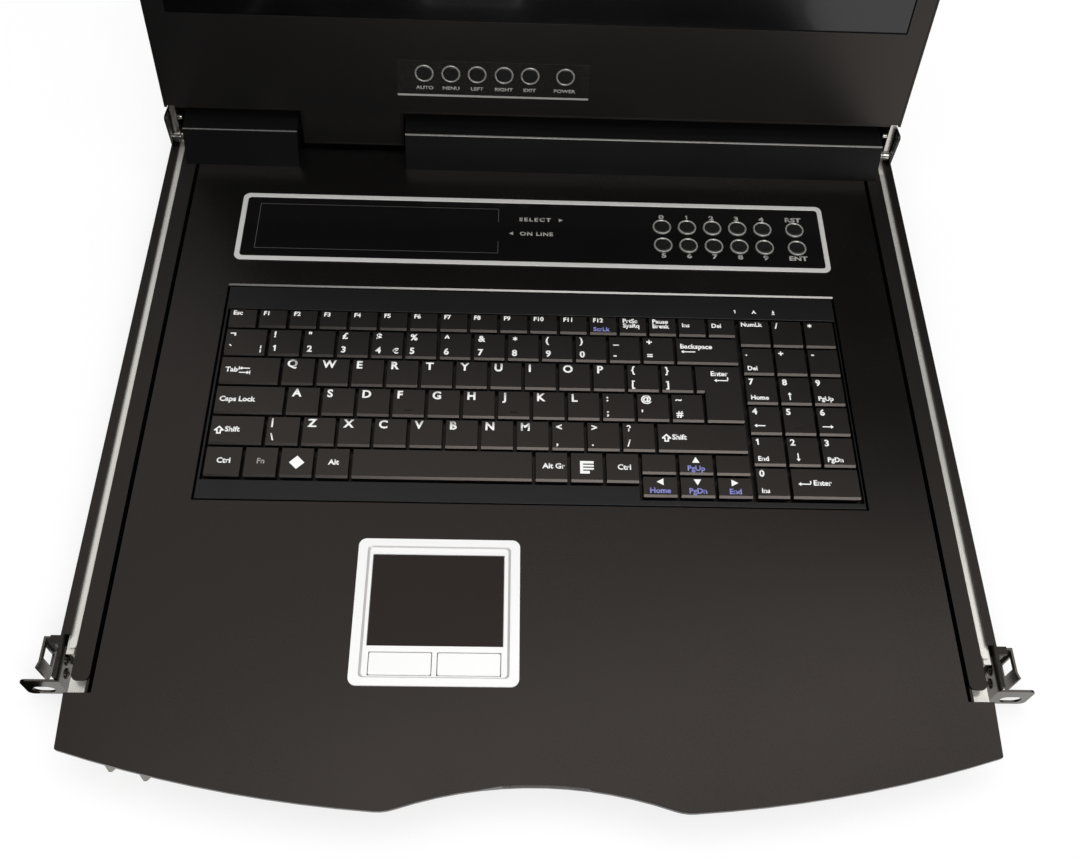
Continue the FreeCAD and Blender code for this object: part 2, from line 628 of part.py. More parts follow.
def cover_plate():
    """Palm rest and deck in one sheet, its edges turned down, with studs for the control board."""
    plate = palm_solid(0, PLATE_UNDER, DECK_TOP, PALM_REAR)
    deck = box(-COVER_HALF, COVER_HALF, PALM_REAR - SHEET, TRAY_REAR, PLATE_UNDER, DECK_TOP)
    lip = palm_solid(0, DECK_TOP - PALM_LIP, PLATE_UNDER, PALM_REAR)
    lip = lip.cut(palm_solid(SHEET, DECK_TOP - PALM_LIP, PLATE_UNDER, PALM_REAR + 1))
    shapes = [plate, deck, lip]
    for side in (-1, 1):
        x0, x1 = sorted((side * COVER_HALF, side * (COVER_HALF - SHEET)))
        shapes.append(box(x0, x1, PALM_REAR, TRAY_REAR - REAR_LEDGE - FIT_GAP,
                          DECK_TOP - COVER_EDGE_DEPTH, PLATE_UNDER))
    for x, y in stud_places():
        shapes.append(cyl(STUD_R, (x, y, PLATE_UNDER - BOARD_DROP), BOARD_DROP, (0, 0, 1)))
    cuts = [box(KEYBOARD_LEFT, KEYBOARD_RIGHT, KEYBOARD_FRONT, KEYBOARD_REAR, PLATE_UNDER, DECK_TOP)]
    cuts.append(box(TOUCH_LEFT + TOUCH_FLANGE, TOUCH_RIGHT - TOUCH_FLANGE, TOUCH_FRONT + TOUCH_FLANGE,
                    TOUCH_REAR - TOUCH_FLANGE, PLATE_UNDER, DECK_TOP))
    for _, x, y in button_places():
        cuts.append(cyl(BUTTON_R + FIT_GAP, (x, y, PLATE_UNDER), SHEET, (0, 0, 1)))
    cuts.append(tongue_window())
    for x, y in deck_screw_places():
        cuts.append(cyl(SCREW_R + SCREW_GAP, (x, y, PLATE_UNDER), SHEET, (0, 0, 1)))
    return union(shapes).cut(cuts)


def stud_places():
    inset = 2 * STUD_R + PANEL_RING
    return [(x, y) for x in (-PANEL_HALF + inset, PANEL_HALF - inset)
            for y in (PANEL_FRONT + inset, PANEL_REAR - inset)]


def deck_screw_places():
    spread = COVER_HALF * 2 / 3
    return [(x, TRAY_REAR - REAR_LEDGE / 2) for x in (-spread, -spread / 3, spread / 3, spread)]


def tray():
    """Bottom pan: floor, palm rest walls, side walls with outward flanges, rear wall with port cut-outs."""
    inset = PALM_TRAY_INSET
    palm_rear = PALM_REAR - SHEET
    palm = palm_solid(inset, 0, PLATE_UNDER, palm_rear)
    hollow = palm_solid(inset + SHEET, SHEET, PLATE_UNDER, palm_rear - SHEET)
    shapes = [palm.cut(hollow)]
    shapes.append(box(-INNER_WEB, INNER_WEB, palm_rear, TRAY_REAR, 0, SHEET))
    for side in (-1, 1):
        x0, x1 = sorted((side * TRAY_WALL, side * INNER_WEB))
        shapes.append(box(x0, x1, palm_rear, TRAY_REAR, 0, PLATE_UNDER))
        x0, x1 = sorted((side * TRAY_WALL, side * FLANGE_HALF))
        flange = box(x0, x1, FLANGE_START, TRAY_REAR, PLATE_UNDER, DECK_TOP)
        corners = [e for e in upright_edges(flange) if e.Vertexes[0].Point.y < FLANGE_START + 1]
        shapes.append(flange.makeFillet(FLANGE_CORNER, corners))
    shapes.append(box(-TRAY_WALL, TRAY_WALL, TRAY_REAR - SHEET, TRAY_REAR, 0, PLATE_UNDER))
    shapes.append(box(-COVER_HALF, COVER_HALF, TRAY_REAR - REAR_LEDGE, TRAY_REAR,
                      PLATE_UNDER - SHEET, PLATE_UNDER))
    cuts = [box(-COVER_HALF, COVER_HALF, palm_rear - 2 * SHEET, PALM_REAR, SHEET, PLATE_UNDER)]
    for x in USB_X:
        cuts.append(box(x - USB_WIDTH / 2, x + USB_WIDTH / 2, PALM_MID_Y, palm_rear - 2 * SHEET,
                        USB_BOTTOM, USB_BOTTOM + USB_HEIGHT))
    for x in port_places():
        cuts.append(box(x - PORT_SHELL[0] / 2, x + PORT_SHELL[0] / 2, TRAY_REAR - SHEET, TRAY_REAR,
                        PORT_CENTRE_Z - PORT_SHELL[1] / 2, PORT_CENTRE_Z + PORT_SHELL[1] / 2))
    for x, y in deck_screw_places():
        cuts.append(cyl(SCREW_R + SCREW_GAP, (x, y, PLATE_UNDER - SHEET), SHEET, (0, 0, 1)))
    return union(shapes).cut(cuts)


def deck_screws():
    screws = []
    for x, y in deck_screw_places():
        head = cyl(SCREW_HEAD_R, (x, y, DECK_TOP), SCREW_HEAD_H, (0, 0, 1))
        shank = cyl(SCREW_R, (x, y, PLATE_UNDER - SHEET), 2 * SHEET, (0, 0, 1))
        screws.append(head.fuse(shank))
    return screws


def port_places():
    return [(k - (PORT_COUNT - 1) / 2) * PORT_PITCH for k in range(PORT_COUNT)]


def port_sockets():
    """Two USB sockets under the palm rest and a row of computer ports in the rear wall."""
    sockets = []
    for x in USB_X:
        front = usb_front_y(x)
        shell = box(x - USB_WIDTH / 2, x + USB_WIDTH / 2, front, front + USB_LENGTH,
                    USB_BOTTOM, USB_BOTTOM + USB_HEIGHT)
        hollow = box(x - USB_WIDTH / 2 + USB_WALL, x + USB_WIDTH / 2 - USB_WALL, front,
                     front + USB_LENGTH - 4 * USB_WALL, USB_BOTTOM + USB_WALL,
                     USB_BOTTOM + USB_HEIGHT - USB_WALL)
        top = USB_BOTTOM + USB_HEIGHT - USB_WALL
        tongue = box(x - USB_WIDTH / 2 + 2 * USB_WALL, x + USB_WIDTH / 2 - 2 * USB_WALL,
                     front + 2 * USB_WALL, front + USB_LENGTH, top - USB_TONGUE, top)
        half = USB_LIP_WIDTH / 2
        tip = USB_LIP_TIP / 2
        lip = prism_z([(x - half, front), (x + half, front), (x + tip, front - USB_LIP),
                       (x - tip, front - USB_LIP)], USB_BOTTOM, USB_BOTTOM + USB_WALL)
        sockets.append(union([shell.cut(hollow), tongue, lip]))
    for x in port_places():
        flange = box(x - PORT_WIDTH / 2, x + PORT_WIDTH / 2, TRAY_REAR, TRAY_REAR + PORT_FLANGE,
                     PORT_CENTRE_Z - PORT_HEIGHT / 2, PORT_CENTRE_Z + PORT_HEIGHT / 2)
        shell = box(x - PORT_SHELL[0] / 2, x + PORT_SHELL[0] / 2, TRAY_REAR - PORT_BODY,
                    TRAY_REAR + PORT_PROUD, PORT_CENTRE_Z - PORT_SHELL[1] / 2,
                    PORT_CENTRE_Z + PORT_SHELL[1] / 2)
        socket = [flange, shell]
        for side in (-1, 1):
            post_x = x + side * (PORT_WIDTH / 2 - SCREW_HEAD_R)
            socket.append(cyl(SCREW_R, (post_x, TRAY_REAR, PORT_CENTRE_Z), PORT_PROUD, (0, 1, 0)))
        sockets.append(union(socket))
    return sockets


# ---------------------------------------------------------------- keyboard
def row_edges(left, widths, right=None):
    edges = [left]
    for width in widths:
        edges.append(edges[-1] + width)
    if right is not None:
        edges.append(right)
    return edges


def key_cells():
    """Cells of each key group as (x0, x1, y0, y1)."""
    names = ("function_keys", "typing_keys", "space_bar", "cursor_keys", "number_pad_keys")
    groups = {name: [] for name in names}
    top = FUNCTION_ROW_TOP
    low = top - FUNCTION_ROW_DEPTH
    width = (KEY_RIGHT - KEY_LEFT) / FUNCTION_KEY_COUNT
    for k in range(FUNCTION_KEY_COUNT):
        groups["function_keys"].append((KEY_LEFT + k * width, KEY_LEFT + (k + 1) * width, low, top))
    unit = KEY_PITCH
    rows = [
        row_edges(KEY_LEFT, [NUMBER_ROW_FIRST * unit] + [unit] * UNIT_KEYS, KEY_RIGHT),
        row_edges(KEY_LEFT, [TAB_ROW_FIRST * unit] + [unit] * UNIT_KEYS),
        row_edges(KEY_LEFT, [CAPS_ROW_FIRST * unit] + [unit] * UNIT_KEYS),
        row_edges(KEY_LEFT, [SHIFT_ROW_FIRST * unit] + [unit] * (UNIT_KEYS - 1), KEY_RIGHT),
    ]
    for r, edges in enumerate(rows):
        top = low - r * ROW_PITCH
        for x0, x1 in zip(edges, edges[1:]):
            groups["typing_keys"].append((x0, x1, top - ROW_PITCH, top))
    top = low - len(rows) * ROW_PITCH
    before = [CONTROL_WIDTH] + [MODIFIER_WIDTH] * 3
    edges = row_edges(KEY_LEFT, before + [SPACE_WIDTH] + [MODIFIER_WIDTH] * 2, CURSOR_LEFT)
    for k, (x0, x1) in enumerate(zip(edges, edges[1:])):
        group = "space_bar" if k == len(before) else "typing_keys"
        groups[group].append((x0, x1, top - ROW_PITCH, top))
    width = (KEY_RIGHT - CURSOR_LEFT) / CURSOR_COLUMNS
    for r in range(CURSOR_ROWS):
        for k in range(CURSOR_COLUMNS):
            x0 = CURSOR_LEFT + k * width
            y1 = top - r * CURSOR_ROW_DEPTH
            groups["cursor_keys"].append((x0, x0 + width, y1 - CURSOR_ROW_DEPTH, y1))
    for r in range(PAD_ROWS):
        y1 = PAD_ROW_TOP - r * PAD_ROW_PITCH
        spans = [(0, 1), (1, 2), (2, 3)] if r < PAD_ROWS - 1 else [(0, 1), (1, 3)]
        for a, b in spans:
            groups["number_pad_keys"].append((PAD_LEFT + a * PAD_KEY_WIDTH, PAD_LEFT + b * PAD_KEY_WIDTH,
                                              y1 - PAD_ROW_PITCH, y1))
    return groups


def enter_spans():
    """The enter key is L-shaped over two rows: its left ends and its upper row's front and top."""
    top = FUNCTION_ROW_TOP - FUNCTION_ROW_DEPTH - ROW_PITCH
    upper_left = KEY_LEFT + (TAB_ROW_FIRST + UNIT_KEYS) * KEY_PITCH
    lower_left = KEY_LEFT + (CAPS_ROW_FIRST + UNIT_KEYS) * KEY_PITCH
    return upper_left, lower_left, top - ROW_PITCH, top


def enter_place():
    _, lower_left, middle, _ = enter_spans()
    return (lower_left + KEY_RIGHT) / 2, middle


def enter_key():
    upper_left, lower_left, middle, top = enter_spans()
    g = KEY_GAP / 2
    tall = prism_x(cap_profile(middle - ROW_PITCH + g, top - g), lower_left + g, KEY_RIGHT - g)
    wing = prism_x(cap_profile(middle + g, top - g), upper_left + g, lower_left + 2 * KEY_GAP)
    return union([tall, wing, stem(*enter_place())])


def cap_profile(y0, y1):
    """Side view of a key cap between its front and rear faces: upright, with a sloping front edge."""
    return [(y0, CAP_BOTTOM), (y0, KEY_TOP - KEY_CHAMFER_DROP), (y0 + KEY_CHAMFER, KEY_TOP),
            (y1, KEY_TOP), (y1, CAP_BOTTOM)]


def key_cap(x0, x1, y0, y1):
    g = KEY_GAP / 2
    cap = prism_x(cap_profile(y0 + g, y1 - g), x0 + g, x1 - g)
    return cap.fuse(stem((x0 + x1) / 2, (y0 + y1) / 2))


def stem(x, y):
    return cyl(KEY_STEM_R, (x, y, CAP_BOTTOM - KEY_STEM_DEPTH), KEY_STEM_DEPTH, (0, 0, 1))


def key_groups():
    groups = {}
    for name, cells in key_cells().items():
        groups[name] = [key_cap(*cell) for cell in cells]
    groups["typing_keys"].append(enter_key())
    return groups


def keyboard_base():
    """Steel plate under the key caps, with a guide hole for every stem."""
    z0 = KEY_BASE_TOP - KEY_BASE_THICK
    flange = KEY_FRAME_FLANGE
    plate = box(KEYBOARD_LEFT - flange, KEYBOARD_RIGHT + flange, KEYBOARD_FRONT - flange,
                KEYBOARD_REAR + flange, z0, KEY_BASE_TOP)
    places = [enter_place()]
    for cells in key_cells().values():
        places += [((x0 + x1) / 2, (y0 + y1) / 2) for x0, x1, y0, y1 in cells]
    radius = KEY_STEM_R + KEY_STEM_GAP
    return plate.cut([cyl(radius, (x, y, z0), KEY_BASE_THICK, (0, 0, 1)) for x, y in places])


def keyboard_frame():
    """Moulded frame round the keys, its flange under the cover plate."""
    flange = KEY_FRAME_FLANGE
    face = DECK_TOP - KEY_FRAME_DROP
    inset = KEY_FRAME_GROOVE
    body = box(KEYBOARD_LEFT + inset, KEYBOARD_RIGHT - inset, KEYBOARD_FRONT + inset,
               KEYBOARD_REAR - inset, KEY_BASE_TOP, face)
    foot = box(KEYBOARD_LEFT - flange, KEYBOARD_RIGHT + flange, KEYBOARD_FRONT - flange,
               KEYBOARD_REAR + flange, KEY_BASE_TOP, PLATE_UNDER)
    groove = box(KEYBOARD_LEFT, KEYBOARD_RIGHT, KEYBOARD_FRONT, KEYBOARD_REAR,
                 KEY_BASE_TOP + KEY_FRAME_SKIRT, PLATE_UNDER)
    opening = prism_z(keyboard_outline(KEY_OPENING_GAP), KEY_BASE_TOP, face)
    return union([foot.cut(groove), body]).cut(opening)


# ---------------------------------------------------------------- touch pad and switch panel
def touch_bezel():
    top = DECK_TOP + TOUCH_RIM
    flange = rounded_box(TOUCH_LEFT, TOUCH_RIGHT, TOUCH_FRONT, TOUCH_REAR, DECK_TOP, top, TOUCH_CORNER)
    inset = TOUCH_FLANGE + FIT_GAP
    body = box(TOUCH_LEFT + inset, TOUCH_RIGHT - inset, TOUCH_FRONT + inset, TOUCH_REAR - inset,
               DECK_TOP - TOUCH_DEPTH, DECK_TOP)
    edge = TOUCH_FIELD_EDGE
    field = rounded_box(TOUCH_LEFT + edge, TOUCH_RIGHT - edge, TOUCH_FRONT + edge,
                        TOUCH_REAR - edge, DECK_TOP, top, TOUCH_CORNER / 2)
    pocket = box(PAD_X0 - FIT_GAP, PAD_X1 + FIT_GAP, PAD_Y0 - FIT_GAP, PAD_Y1 + FIT_GAP,
                 DECK_TOP - TOUCH_DEPTH + TOUCH_FLOOR, DECK_TOP)
    cuts = [field, pocket]
    for x0, x1 in (TOUCH_BUTTON_X[:2], TOUCH_BUTTON_X[2:]):
        cuts.append(box(x0 - FIT_GAP, x1 + FIT_GAP, TOUCH_BUTTON_Y0 - FIT_GAP, TOUCH_BUTTON_Y1 + FIT_GAP,
                        DECK_TOP - TOUCH_DEPTH, DECK_TOP))
    return union([flange, body]).cut(cuts)


def touch_pad():
    floor = DECK_TOP - TOUCH_DEPTH + TOUCH_FLOOR
    return box(PAD_X0, PAD_X1, PAD_Y0, PAD_Y1, floor, floor + TOUCH_PAD_THICK)


def touch_button(x0, x1):
    top = DECK_TOP + TOUCH_BUTTON_PROUD
    return rounded_box(x0, x1, TOUCH_BUTTON_Y0, TOUCH_BUTTON_Y1, top - TOUCH_BUTTON_THICK, top,
                       TOUCH_BUTTON_CORNER)


def panel_frame():
    top = DECK_TOP + PANEL_RING_HEIGHT
    outer = rounded_box(-PANEL_HALF, PANEL_HALF, PANEL_FRONT, PANEL_REAR, DECK_TOP, top, PANEL_CORNER)
    ring = PANEL_RING
    inner = rounded_box(-PANEL_HALF + ring, PANEL_HALF - ring, PANEL_FRONT + ring, PANEL_REAR - ring,
                        DECK_TOP, top, PANEL_CORNER / 2)
    return outer.cut(inner)


def panel_overlay():
    edge = PANEL_RING + FIT_GAP
    plate = rounded_box(-PANEL_HALF + edge, PANEL_HALF - edge, PANEL_FRONT + edge, PANEL_REAR - edge,
                        DECK_TOP, DECK_TOP + OVERLAY_THICK, PANEL_CORNER / 2)
    radius = BUTTON_R + FIT_GAP
    return plate.cut([cyl(radius, (x, y, DECK_TOP), OVERLAY_THICK, (0, 0, 1)) for _, x, y in button_places()])


def round_button(x, y, top, thick):
    """Round push button with a raised rim round a shallow dish."""
    body = cyl(BUTTON_R, (x, y, top - thick), thick, (0, 0, 1))
    return body.cut(cyl(BUTTON_R - BUTTON_RIM, (x, y, top - BUTTON_DISH), BUTTON_DISH, (0, 0, 1)))


def control_board():
    """Circuit board under the switch panel, with a tactile switch below each button."""
    z1 = PLATE_UNDER - BOARD_DROP
    edge = PANEL_RING
    shapes = [box(-PANEL_HALF + edge, PANEL_HALF - edge, PANEL_FRONT + edge, PANEL_REAR - edge,
                  z1 - BOARD_THICK, z1)]
    height = BUTTON_TOP - BUTTON_THICK - BUTTON_TRAVEL - SWITCH_GAP - z1
    half = SWITCH_SIZE / 2
    for _, x, y in button_places():
        shapes.append(box(x - half, x + half, y - half, y + half, z1, z1 + height))
    return union(shapes)


# ---------------------------------------------------------------- hinge
def hinge_cover(x0, x1, outer):
    """Folded sheet cover over a hinge, its front leaning back, and the side plate that holds the pin's end.

    outer is the side of the pin: +1 where it is at x1.
    """
    def section(inset):
        top = COVER_TOP - inset
        return [(COVER_FRONT_Y + inset, DECK_TOP), (COVER_LEAN_Y + inset, top),
                (COVER_REAR_Y - inset, top), (COVER_REAR_Y - inset, DECK_TOP)]
    shell = prism_x(section(0), x0, x1).cut(prism_x(section(SHEET), x0 + SHEET, x1 - SHEET))
    low = RAIL_TOP + SIDE_PLATE_RAIL_GAP
    outside = outer * LID_HALF
    inside = outer * (LID_HALF - SIDE_PLATE_THICK)
    plate = prism_x([(SIDE_PLATE_FRONT_Y, low), (SIDE_PLATE_FRONT_Y, SIDE_PLATE_TOP),
                     (COVER_REAR_Y, SIDE_PLATE_REAR_TOP), (COVER_REAR_Y, low)],
                    min(inside, outside), max(inside, outside))
    corner = [e for e in plate.Edges if abs(e.Vertexes[0].Point.x - e.Vertexes[-1].Point.x) > 1
              and e.Vertexes[0].Point.z > SIDE_PLATE_TOP - 1]
    plate = plate.makeFillet(SIDE_PLATE_FILLET, corner)
    end = x1 - SHEET if outer > 0 else x0
    near = x1 if outer > 0 else x0
    web = box(min(near, outside), max(near, outside), COVER_REAR_Y - SHEET, COVER_REAR_Y,
              low, SIDE_PLATE_REAR_TOP)
    bores = [cyl(PIN_R + FIT_GAP, (end, PIVOT_Y, PIVOT_Z), SHEET, (1, 0, 0)),
             cyl(PIN_R + PIN_GAP, (min(inside, outside), PIVOT_Y, PIVOT_Z), SIDE_PLATE_THICK, (1, 0, 0))]
    return union([shell, plate, web]).cut(bores)


def hinge_bracket():
    """Knuckle with a foot on the deck, right side."""
    outer = COVER_RIGHT[1] - SHEET
    knuckle = cyl(KNUCKLE_R, (PIN_INNER, PIVOT_Y, PIVOT_Z), KNUCKLE_LENGTH, (1, 0, 0))
    foot = box(PIN_INNER, outer, PIVOT_Y - 2 * KNUCKLE_R, PIVOT_Y + 2 * KNUCKLE_R,
               DECK_TOP, PIVOT_Z - PIN_R - SHEET / 2)
    bore = cyl(PIN_R + PIN_GAP, (PIN_INNER, PIVOT_Y, PIVOT_Z), KNUCKLE_LENGTH, (1, 0, 0))
    return union([knuckle, foot]).cut(bore)


def hinge_pin():
    """Pin from the knuckle out through the hinge arm to the side plate, with a collar before the arm."""
    shank = cyl(PIN_R, (PIN_INNER, PIVOT_Y, PIVOT_Z), LID_HALF - PIN_INNER, (1, 0, 0))
    start = COVER_RIGHT[1] + COLLAR_COVER_GAP
    length = ARM_X - COLLAR_ARM_GAP - start
    return shank.fuse(cyl(COLLAR_R, (start, PIVOT_Y, PIVOT_Z), length, (1, 0, 0)))


# ---------------------------------------------------------------- lid, built flat and then opened
def opened(shape):
    """Carries a shape from the lid's own frame (x, S, N) to its place in the open lid."""
    shape = shape.copy()
    shape.rotate(V(0, 0, 0), V(1, 0, 0), OPEN_ANGLE)
    shape.translate(V(0, PIVOT_Y, PIVOT_Z))
    return shape


def lid_back():
    """Rear shell: back wall, four edges and the tongue between the hinge covers."""
    outer = box(-LID_HALF, LID_HALF, LID_NOTCH, LID_LENGTH, LID_BACK, LID_FACE)
    outer = outer.makeFillet(LID_CORNER, far_corners(outer, LID_LENGTH))
    hollow = box(-LID_HALF + SHEET, LID_HALF - SHEET, LID_NOTCH + SHEET, LID_LENGTH - SHEET,
                 LID_BACK + SHEET, LID_FACE)
    tongue = box(TONGUE[0], TONGUE[1], LID_TONGUE_END, LID_NOTCH + SHEET, LID_BACK, LID_FACE)
    tongue_hollow = box(TONGUE[0] + SHEET, TONGUE[1] - SHEET, LID_TONGUE_END + SHEET, LID_NOTCH + 2 * SHEET,
                        LID_BACK + SHEET, LID_FACE)
    shapes = [outer.cut(hollow), tongue]
    slot = box(ARM_X - FIT_GAP, ARM_X + ARM_THICK + FIT_GAP, LID_NOTCH, LID_NOTCH + SHEET,
               -ARM_BACK - FIT_GAP, LID_FACE)
    return union(shapes).cut([tongue_hollow, slot, mirrored(slot)])


def far_corners(shape, far):
    """Edges through the thickness of the lid at its far end."""
    edges = []
    for edge in shape.Edges:
        a = edge.Vertexes[0].Point
        b = edge.Vertexes[-1].Point
        if abs(a.z - b.z) > 1 and a.y > far - 1:
            edges.append(edge)
    return edges


def lid_bezel():
    """Front plate with the screen opening and holes behind the menu buttons."""
    edge = SHEET + FIT_GAP / 3
    n0 = LID_FACE - LID_BEZEL_THICK
    plate = box(-LID_HALF + edge, LID_HALF - edge, LID_NOTCH + edge, LID_LENGTH - edge, n0, LID_FACE)
    plate = plate.makeFillet(LID_CORNER - SHEET, far_corners(plate, LID_LENGTH - edge))
    tongue = box(TONGUE[0] + edge, TONGUE[1] - edge, LID_TONGUE_END + edge, LID_NOTCH + 2 * edge,
                 n0, LID_FACE)
    cuts = [box(-SCREEN_HALF, SCREEN_HALF, SCREEN_START, SCREEN_START + SCREEN_LENGTH, n0, LID_FACE)]
    for x in MENU_BUTTON_X:
        cuts.append(cyl(BUTTON_R + FIT_GAP, (x, MENU_BUTTON_S, n0), LID_BEZEL_THICK, (0, 0, 1)))
    return union([plate, tongue]).cut(cuts)


def lcd_panel():
    """Display panel with its cover glass in the bezel's opening and a flange behind the bezel."""
    n0 = LID_FACE - LID_BEZEL_THICK
    gap = FIT_GAP
    s1 = SCREEN_START + SCREEN_LENGTH
    glass = box(-SCREEN_HALF + gap, SCREEN_HALF - gap, SCREEN_START + gap, s1 - gap, n0 - SHEET,
                LID_FACE - SCREEN_SINK)
    f = SCREEN_FLANGE
    body = box(-SCREEN_HALF - f, SCREEN_HALF + f, SCREEN_START - f, s1 + f, n0 - SCREEN_THICK, n0)
    return union([glass, body])


def menu_plate():
    top = LID_FACE + MENU_THICK
    plate = box(MENU_LEFT, MENU_RIGHT, MENU_START, MENU_START + MENU_LENGTH, LID_FACE, top)
    radius = BUTTON_R + FIT_GAP
    holes = [cyl(radius, (x, MENU_BUTTON_S, LID_FACE), MENU_THICK, (0, 0, 1)) for x in MENU_BUTTON_X]
    return plate.cut(holes)


def display_board():
    """Circuit board behind the bezel, with a switch for each menu button and spacers to the bezel."""
    n0 = LID_FACE - LID_BEZEL_THICK
    top = n0 - DISPLAY_BOARD_DROP
    edge = SWITCH_SIZE
    shapes = [box(MENU_LEFT - edge, MENU_RIGHT + edge, MENU_START, MENU_START + MENU_LENGTH,
                  top - DISPLAY_BOARD_THICK, top)]
    half = SWITCH_SIZE / 2
    reach = LID_FACE + MENU_BUTTON_PROUD - MENU_BUTTON_THICK - BUTTON_TRAVEL - SWITCH_GAP
    for x in MENU_BUTTON_X:
        shapes.append(box(x - half, x + half, MENU_BUTTON_S - half, MENU_BUTTON_S + half, top, reach))
    for x in (MENU_LEFT - edge / 2, MENU_RIGHT + edge / 2):
        shapes.append(cyl(STUD_R, (x, MENU_START + MENU_LENGTH / 2, top), DISPLAY_BOARD_DROP, (0, 0, 1)))
    return union(shapes)


def hinge_arm():
    """Steel arm from the pin up along the back of the bezel, with its stop pin, right side."""
    n1 = LID_FACE - LID_BEZEL_THICK
    start = LID_NOTCH + SHEET + FIT_GAP
    arm = box(ARM_X, ARM_X + ARM_THICK, 0, ARM_LENGTH, -ARM_BACK, n1)
    eye = cyl(ARM_BACK, (ARM_X, 0, 0), ARM_THICK, (1, 0, 0))
    end = SCREEN_START - SCREEN_FLANGE - FIT_GAP
    foot = box(ARM_X - 2 * ARM_BACK, ARM_X + ARM_THICK, start, end, n1 - SHEET, n1)
    stop = cyl(STOP_PIN_R, (ARM_X - STOP_PIN_LENGTH, STOP_PIN_S, 0), STOP_PIN_LENGTH, (1, 0, 0))
    bore = cyl(PIN_R + PIN_GAP, (ARM_X, 0, 0), ARM_THICK, (1, 0, 0))
    return union([arm, eye, foot, stop]).cut(bore)


# ---------------------------------------------------------------- write the nodes
def main():
    os.makedirs("parts", exist_ok=True)
    save_pair("outer_rail", outer_rail())
    save_pair("rack_ear", rack_ear())
    save_pair("release_latch", release_latch())
    bracket = rear_bracket()
    save("rear_brackets", [bracket, mirrored(bracket)])
    save("rail_screws", rail_screws())
    save_pair("mid_rail", mid_rail())
    for name, cage in (("outer_ball_cages", outer_cage()), ("inner_ball_cages", inner_cage())):
        save(name, cage + [mirrored(piece) for piece in cage])
    save_pair("inner_rail", inner_rail())
    save("tray", tray())
    save("cover_plate", cover_plate())
    save("deck_screws", deck_screws())
    save("port_sockets", port_sockets())
    save("keyboard_frame", keyboard_frame())
    save("keyboard_base", keyboard_base())
    for name, caps in key_groups().items():
        save(name, caps)
    save("touch_bezel", touch_bezel())
    save("touch_pad", touch_pad())
    save("touch_button_left", touch_button(*TOUCH_BUTTON_X[:2]))
    save("touch_button_right", touch_button(*TOUCH_BUTTON_X[2:]))
    save("panel_frame", panel_frame())
    save("panel_overlay", panel_overlay())
    for name, x, y in button_places():
        save("panel_button_" + name, round_button(x, y, BUTTON_TOP, BUTTON_THICK))
    save("control_board", control_board())
    save("hinge_cover_left", hinge_cover(*COVER_LEFT, -1))
    save("hinge_cover_right", hinge_cover(*COVER_RIGHT, 1))
    hinge = hinge_bracket()
    save("hinge_brackets", [hinge, mirrored(hinge)])
    pin = hinge_pin()
    save("hinge_pins", [pin, mirrored(pin)])
    save("lid_back", opened(lid_back()))
    save("lid_bezel", opened(lid_bezel()))
    save("lcd_panel", opened(lcd_panel()))
    save("menu_plate", opened(menu_plate()))
    save("display_board", opened(display_board()))
    arm = opened(hinge_arm())
    save("hinge_arms", [arm, mirrored(arm)])
    top = LID_FACE + MENU_BUTTON_PROUD
    for name, x in zip(MENU_NAMES, MENU_BUTTON_X):
        save("menu_button_" + name, opened(round_button(x, MENU_BUTTON_S, top, MENU_BUTTON_THICK)))


main()
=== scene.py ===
"""Looks of the rackmount LCD console drawer, built around its CAD frame.

Metres, +Z up, +Y towards the rear of the rack. Small sizes are written in millimetres times MM.
"""
import math

import bpy
import bmesh
from mathutils import Matrix, Vector
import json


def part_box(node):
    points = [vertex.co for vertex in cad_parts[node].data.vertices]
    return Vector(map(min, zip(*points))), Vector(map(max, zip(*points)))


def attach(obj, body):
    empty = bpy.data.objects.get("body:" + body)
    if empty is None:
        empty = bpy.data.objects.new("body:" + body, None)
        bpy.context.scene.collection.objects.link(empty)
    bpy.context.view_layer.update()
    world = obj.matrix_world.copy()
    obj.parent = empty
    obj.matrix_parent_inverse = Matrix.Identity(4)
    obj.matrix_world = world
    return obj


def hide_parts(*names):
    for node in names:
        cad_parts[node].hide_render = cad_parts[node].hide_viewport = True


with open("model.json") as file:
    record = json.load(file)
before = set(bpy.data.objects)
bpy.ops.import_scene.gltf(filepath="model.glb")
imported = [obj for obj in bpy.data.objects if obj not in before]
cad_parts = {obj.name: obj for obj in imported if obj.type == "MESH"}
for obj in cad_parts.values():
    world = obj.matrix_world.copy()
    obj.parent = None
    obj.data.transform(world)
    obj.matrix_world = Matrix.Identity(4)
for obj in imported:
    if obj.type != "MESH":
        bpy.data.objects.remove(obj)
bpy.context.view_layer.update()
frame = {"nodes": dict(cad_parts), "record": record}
nodes = frame["nodes"]
MM = 0.001
scene = bpy.context.scene

body_of_node = {}
for body, names in frame["record"]["behaviour"]["bodies"].items():
    for name in names:
        body_of_node[name] = body
slot_of_node = {part["node"]: part["material_slot"] for part in frame["record"]["subparts"]}

LID_ANGLE = math.radians(80)       # the lid's slope at rest, from the horizontal
pin_low, pin_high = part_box("hinge_pins")
pivot = (pin_low + pin_high) / 2
on_lid = Matrix.Translation((0, pivot.y, pivot.z)) @ Matrix.Rotation(LID_ANGLE, 4, "X")


# ---------------------------------------------------------------- materials
def linear(hexcode):
    """sRGB hex to the linear colour that sockets take."""
    out = []
    for start in (0, 2, 4):
        value = int(hexcode[start:start + 2], 16) / 255
        out.append(value / 12.92 if value <= 0.04045 else ((value + 0.055) / 1.055) ** 2.4)
    return (*out, 1.0)


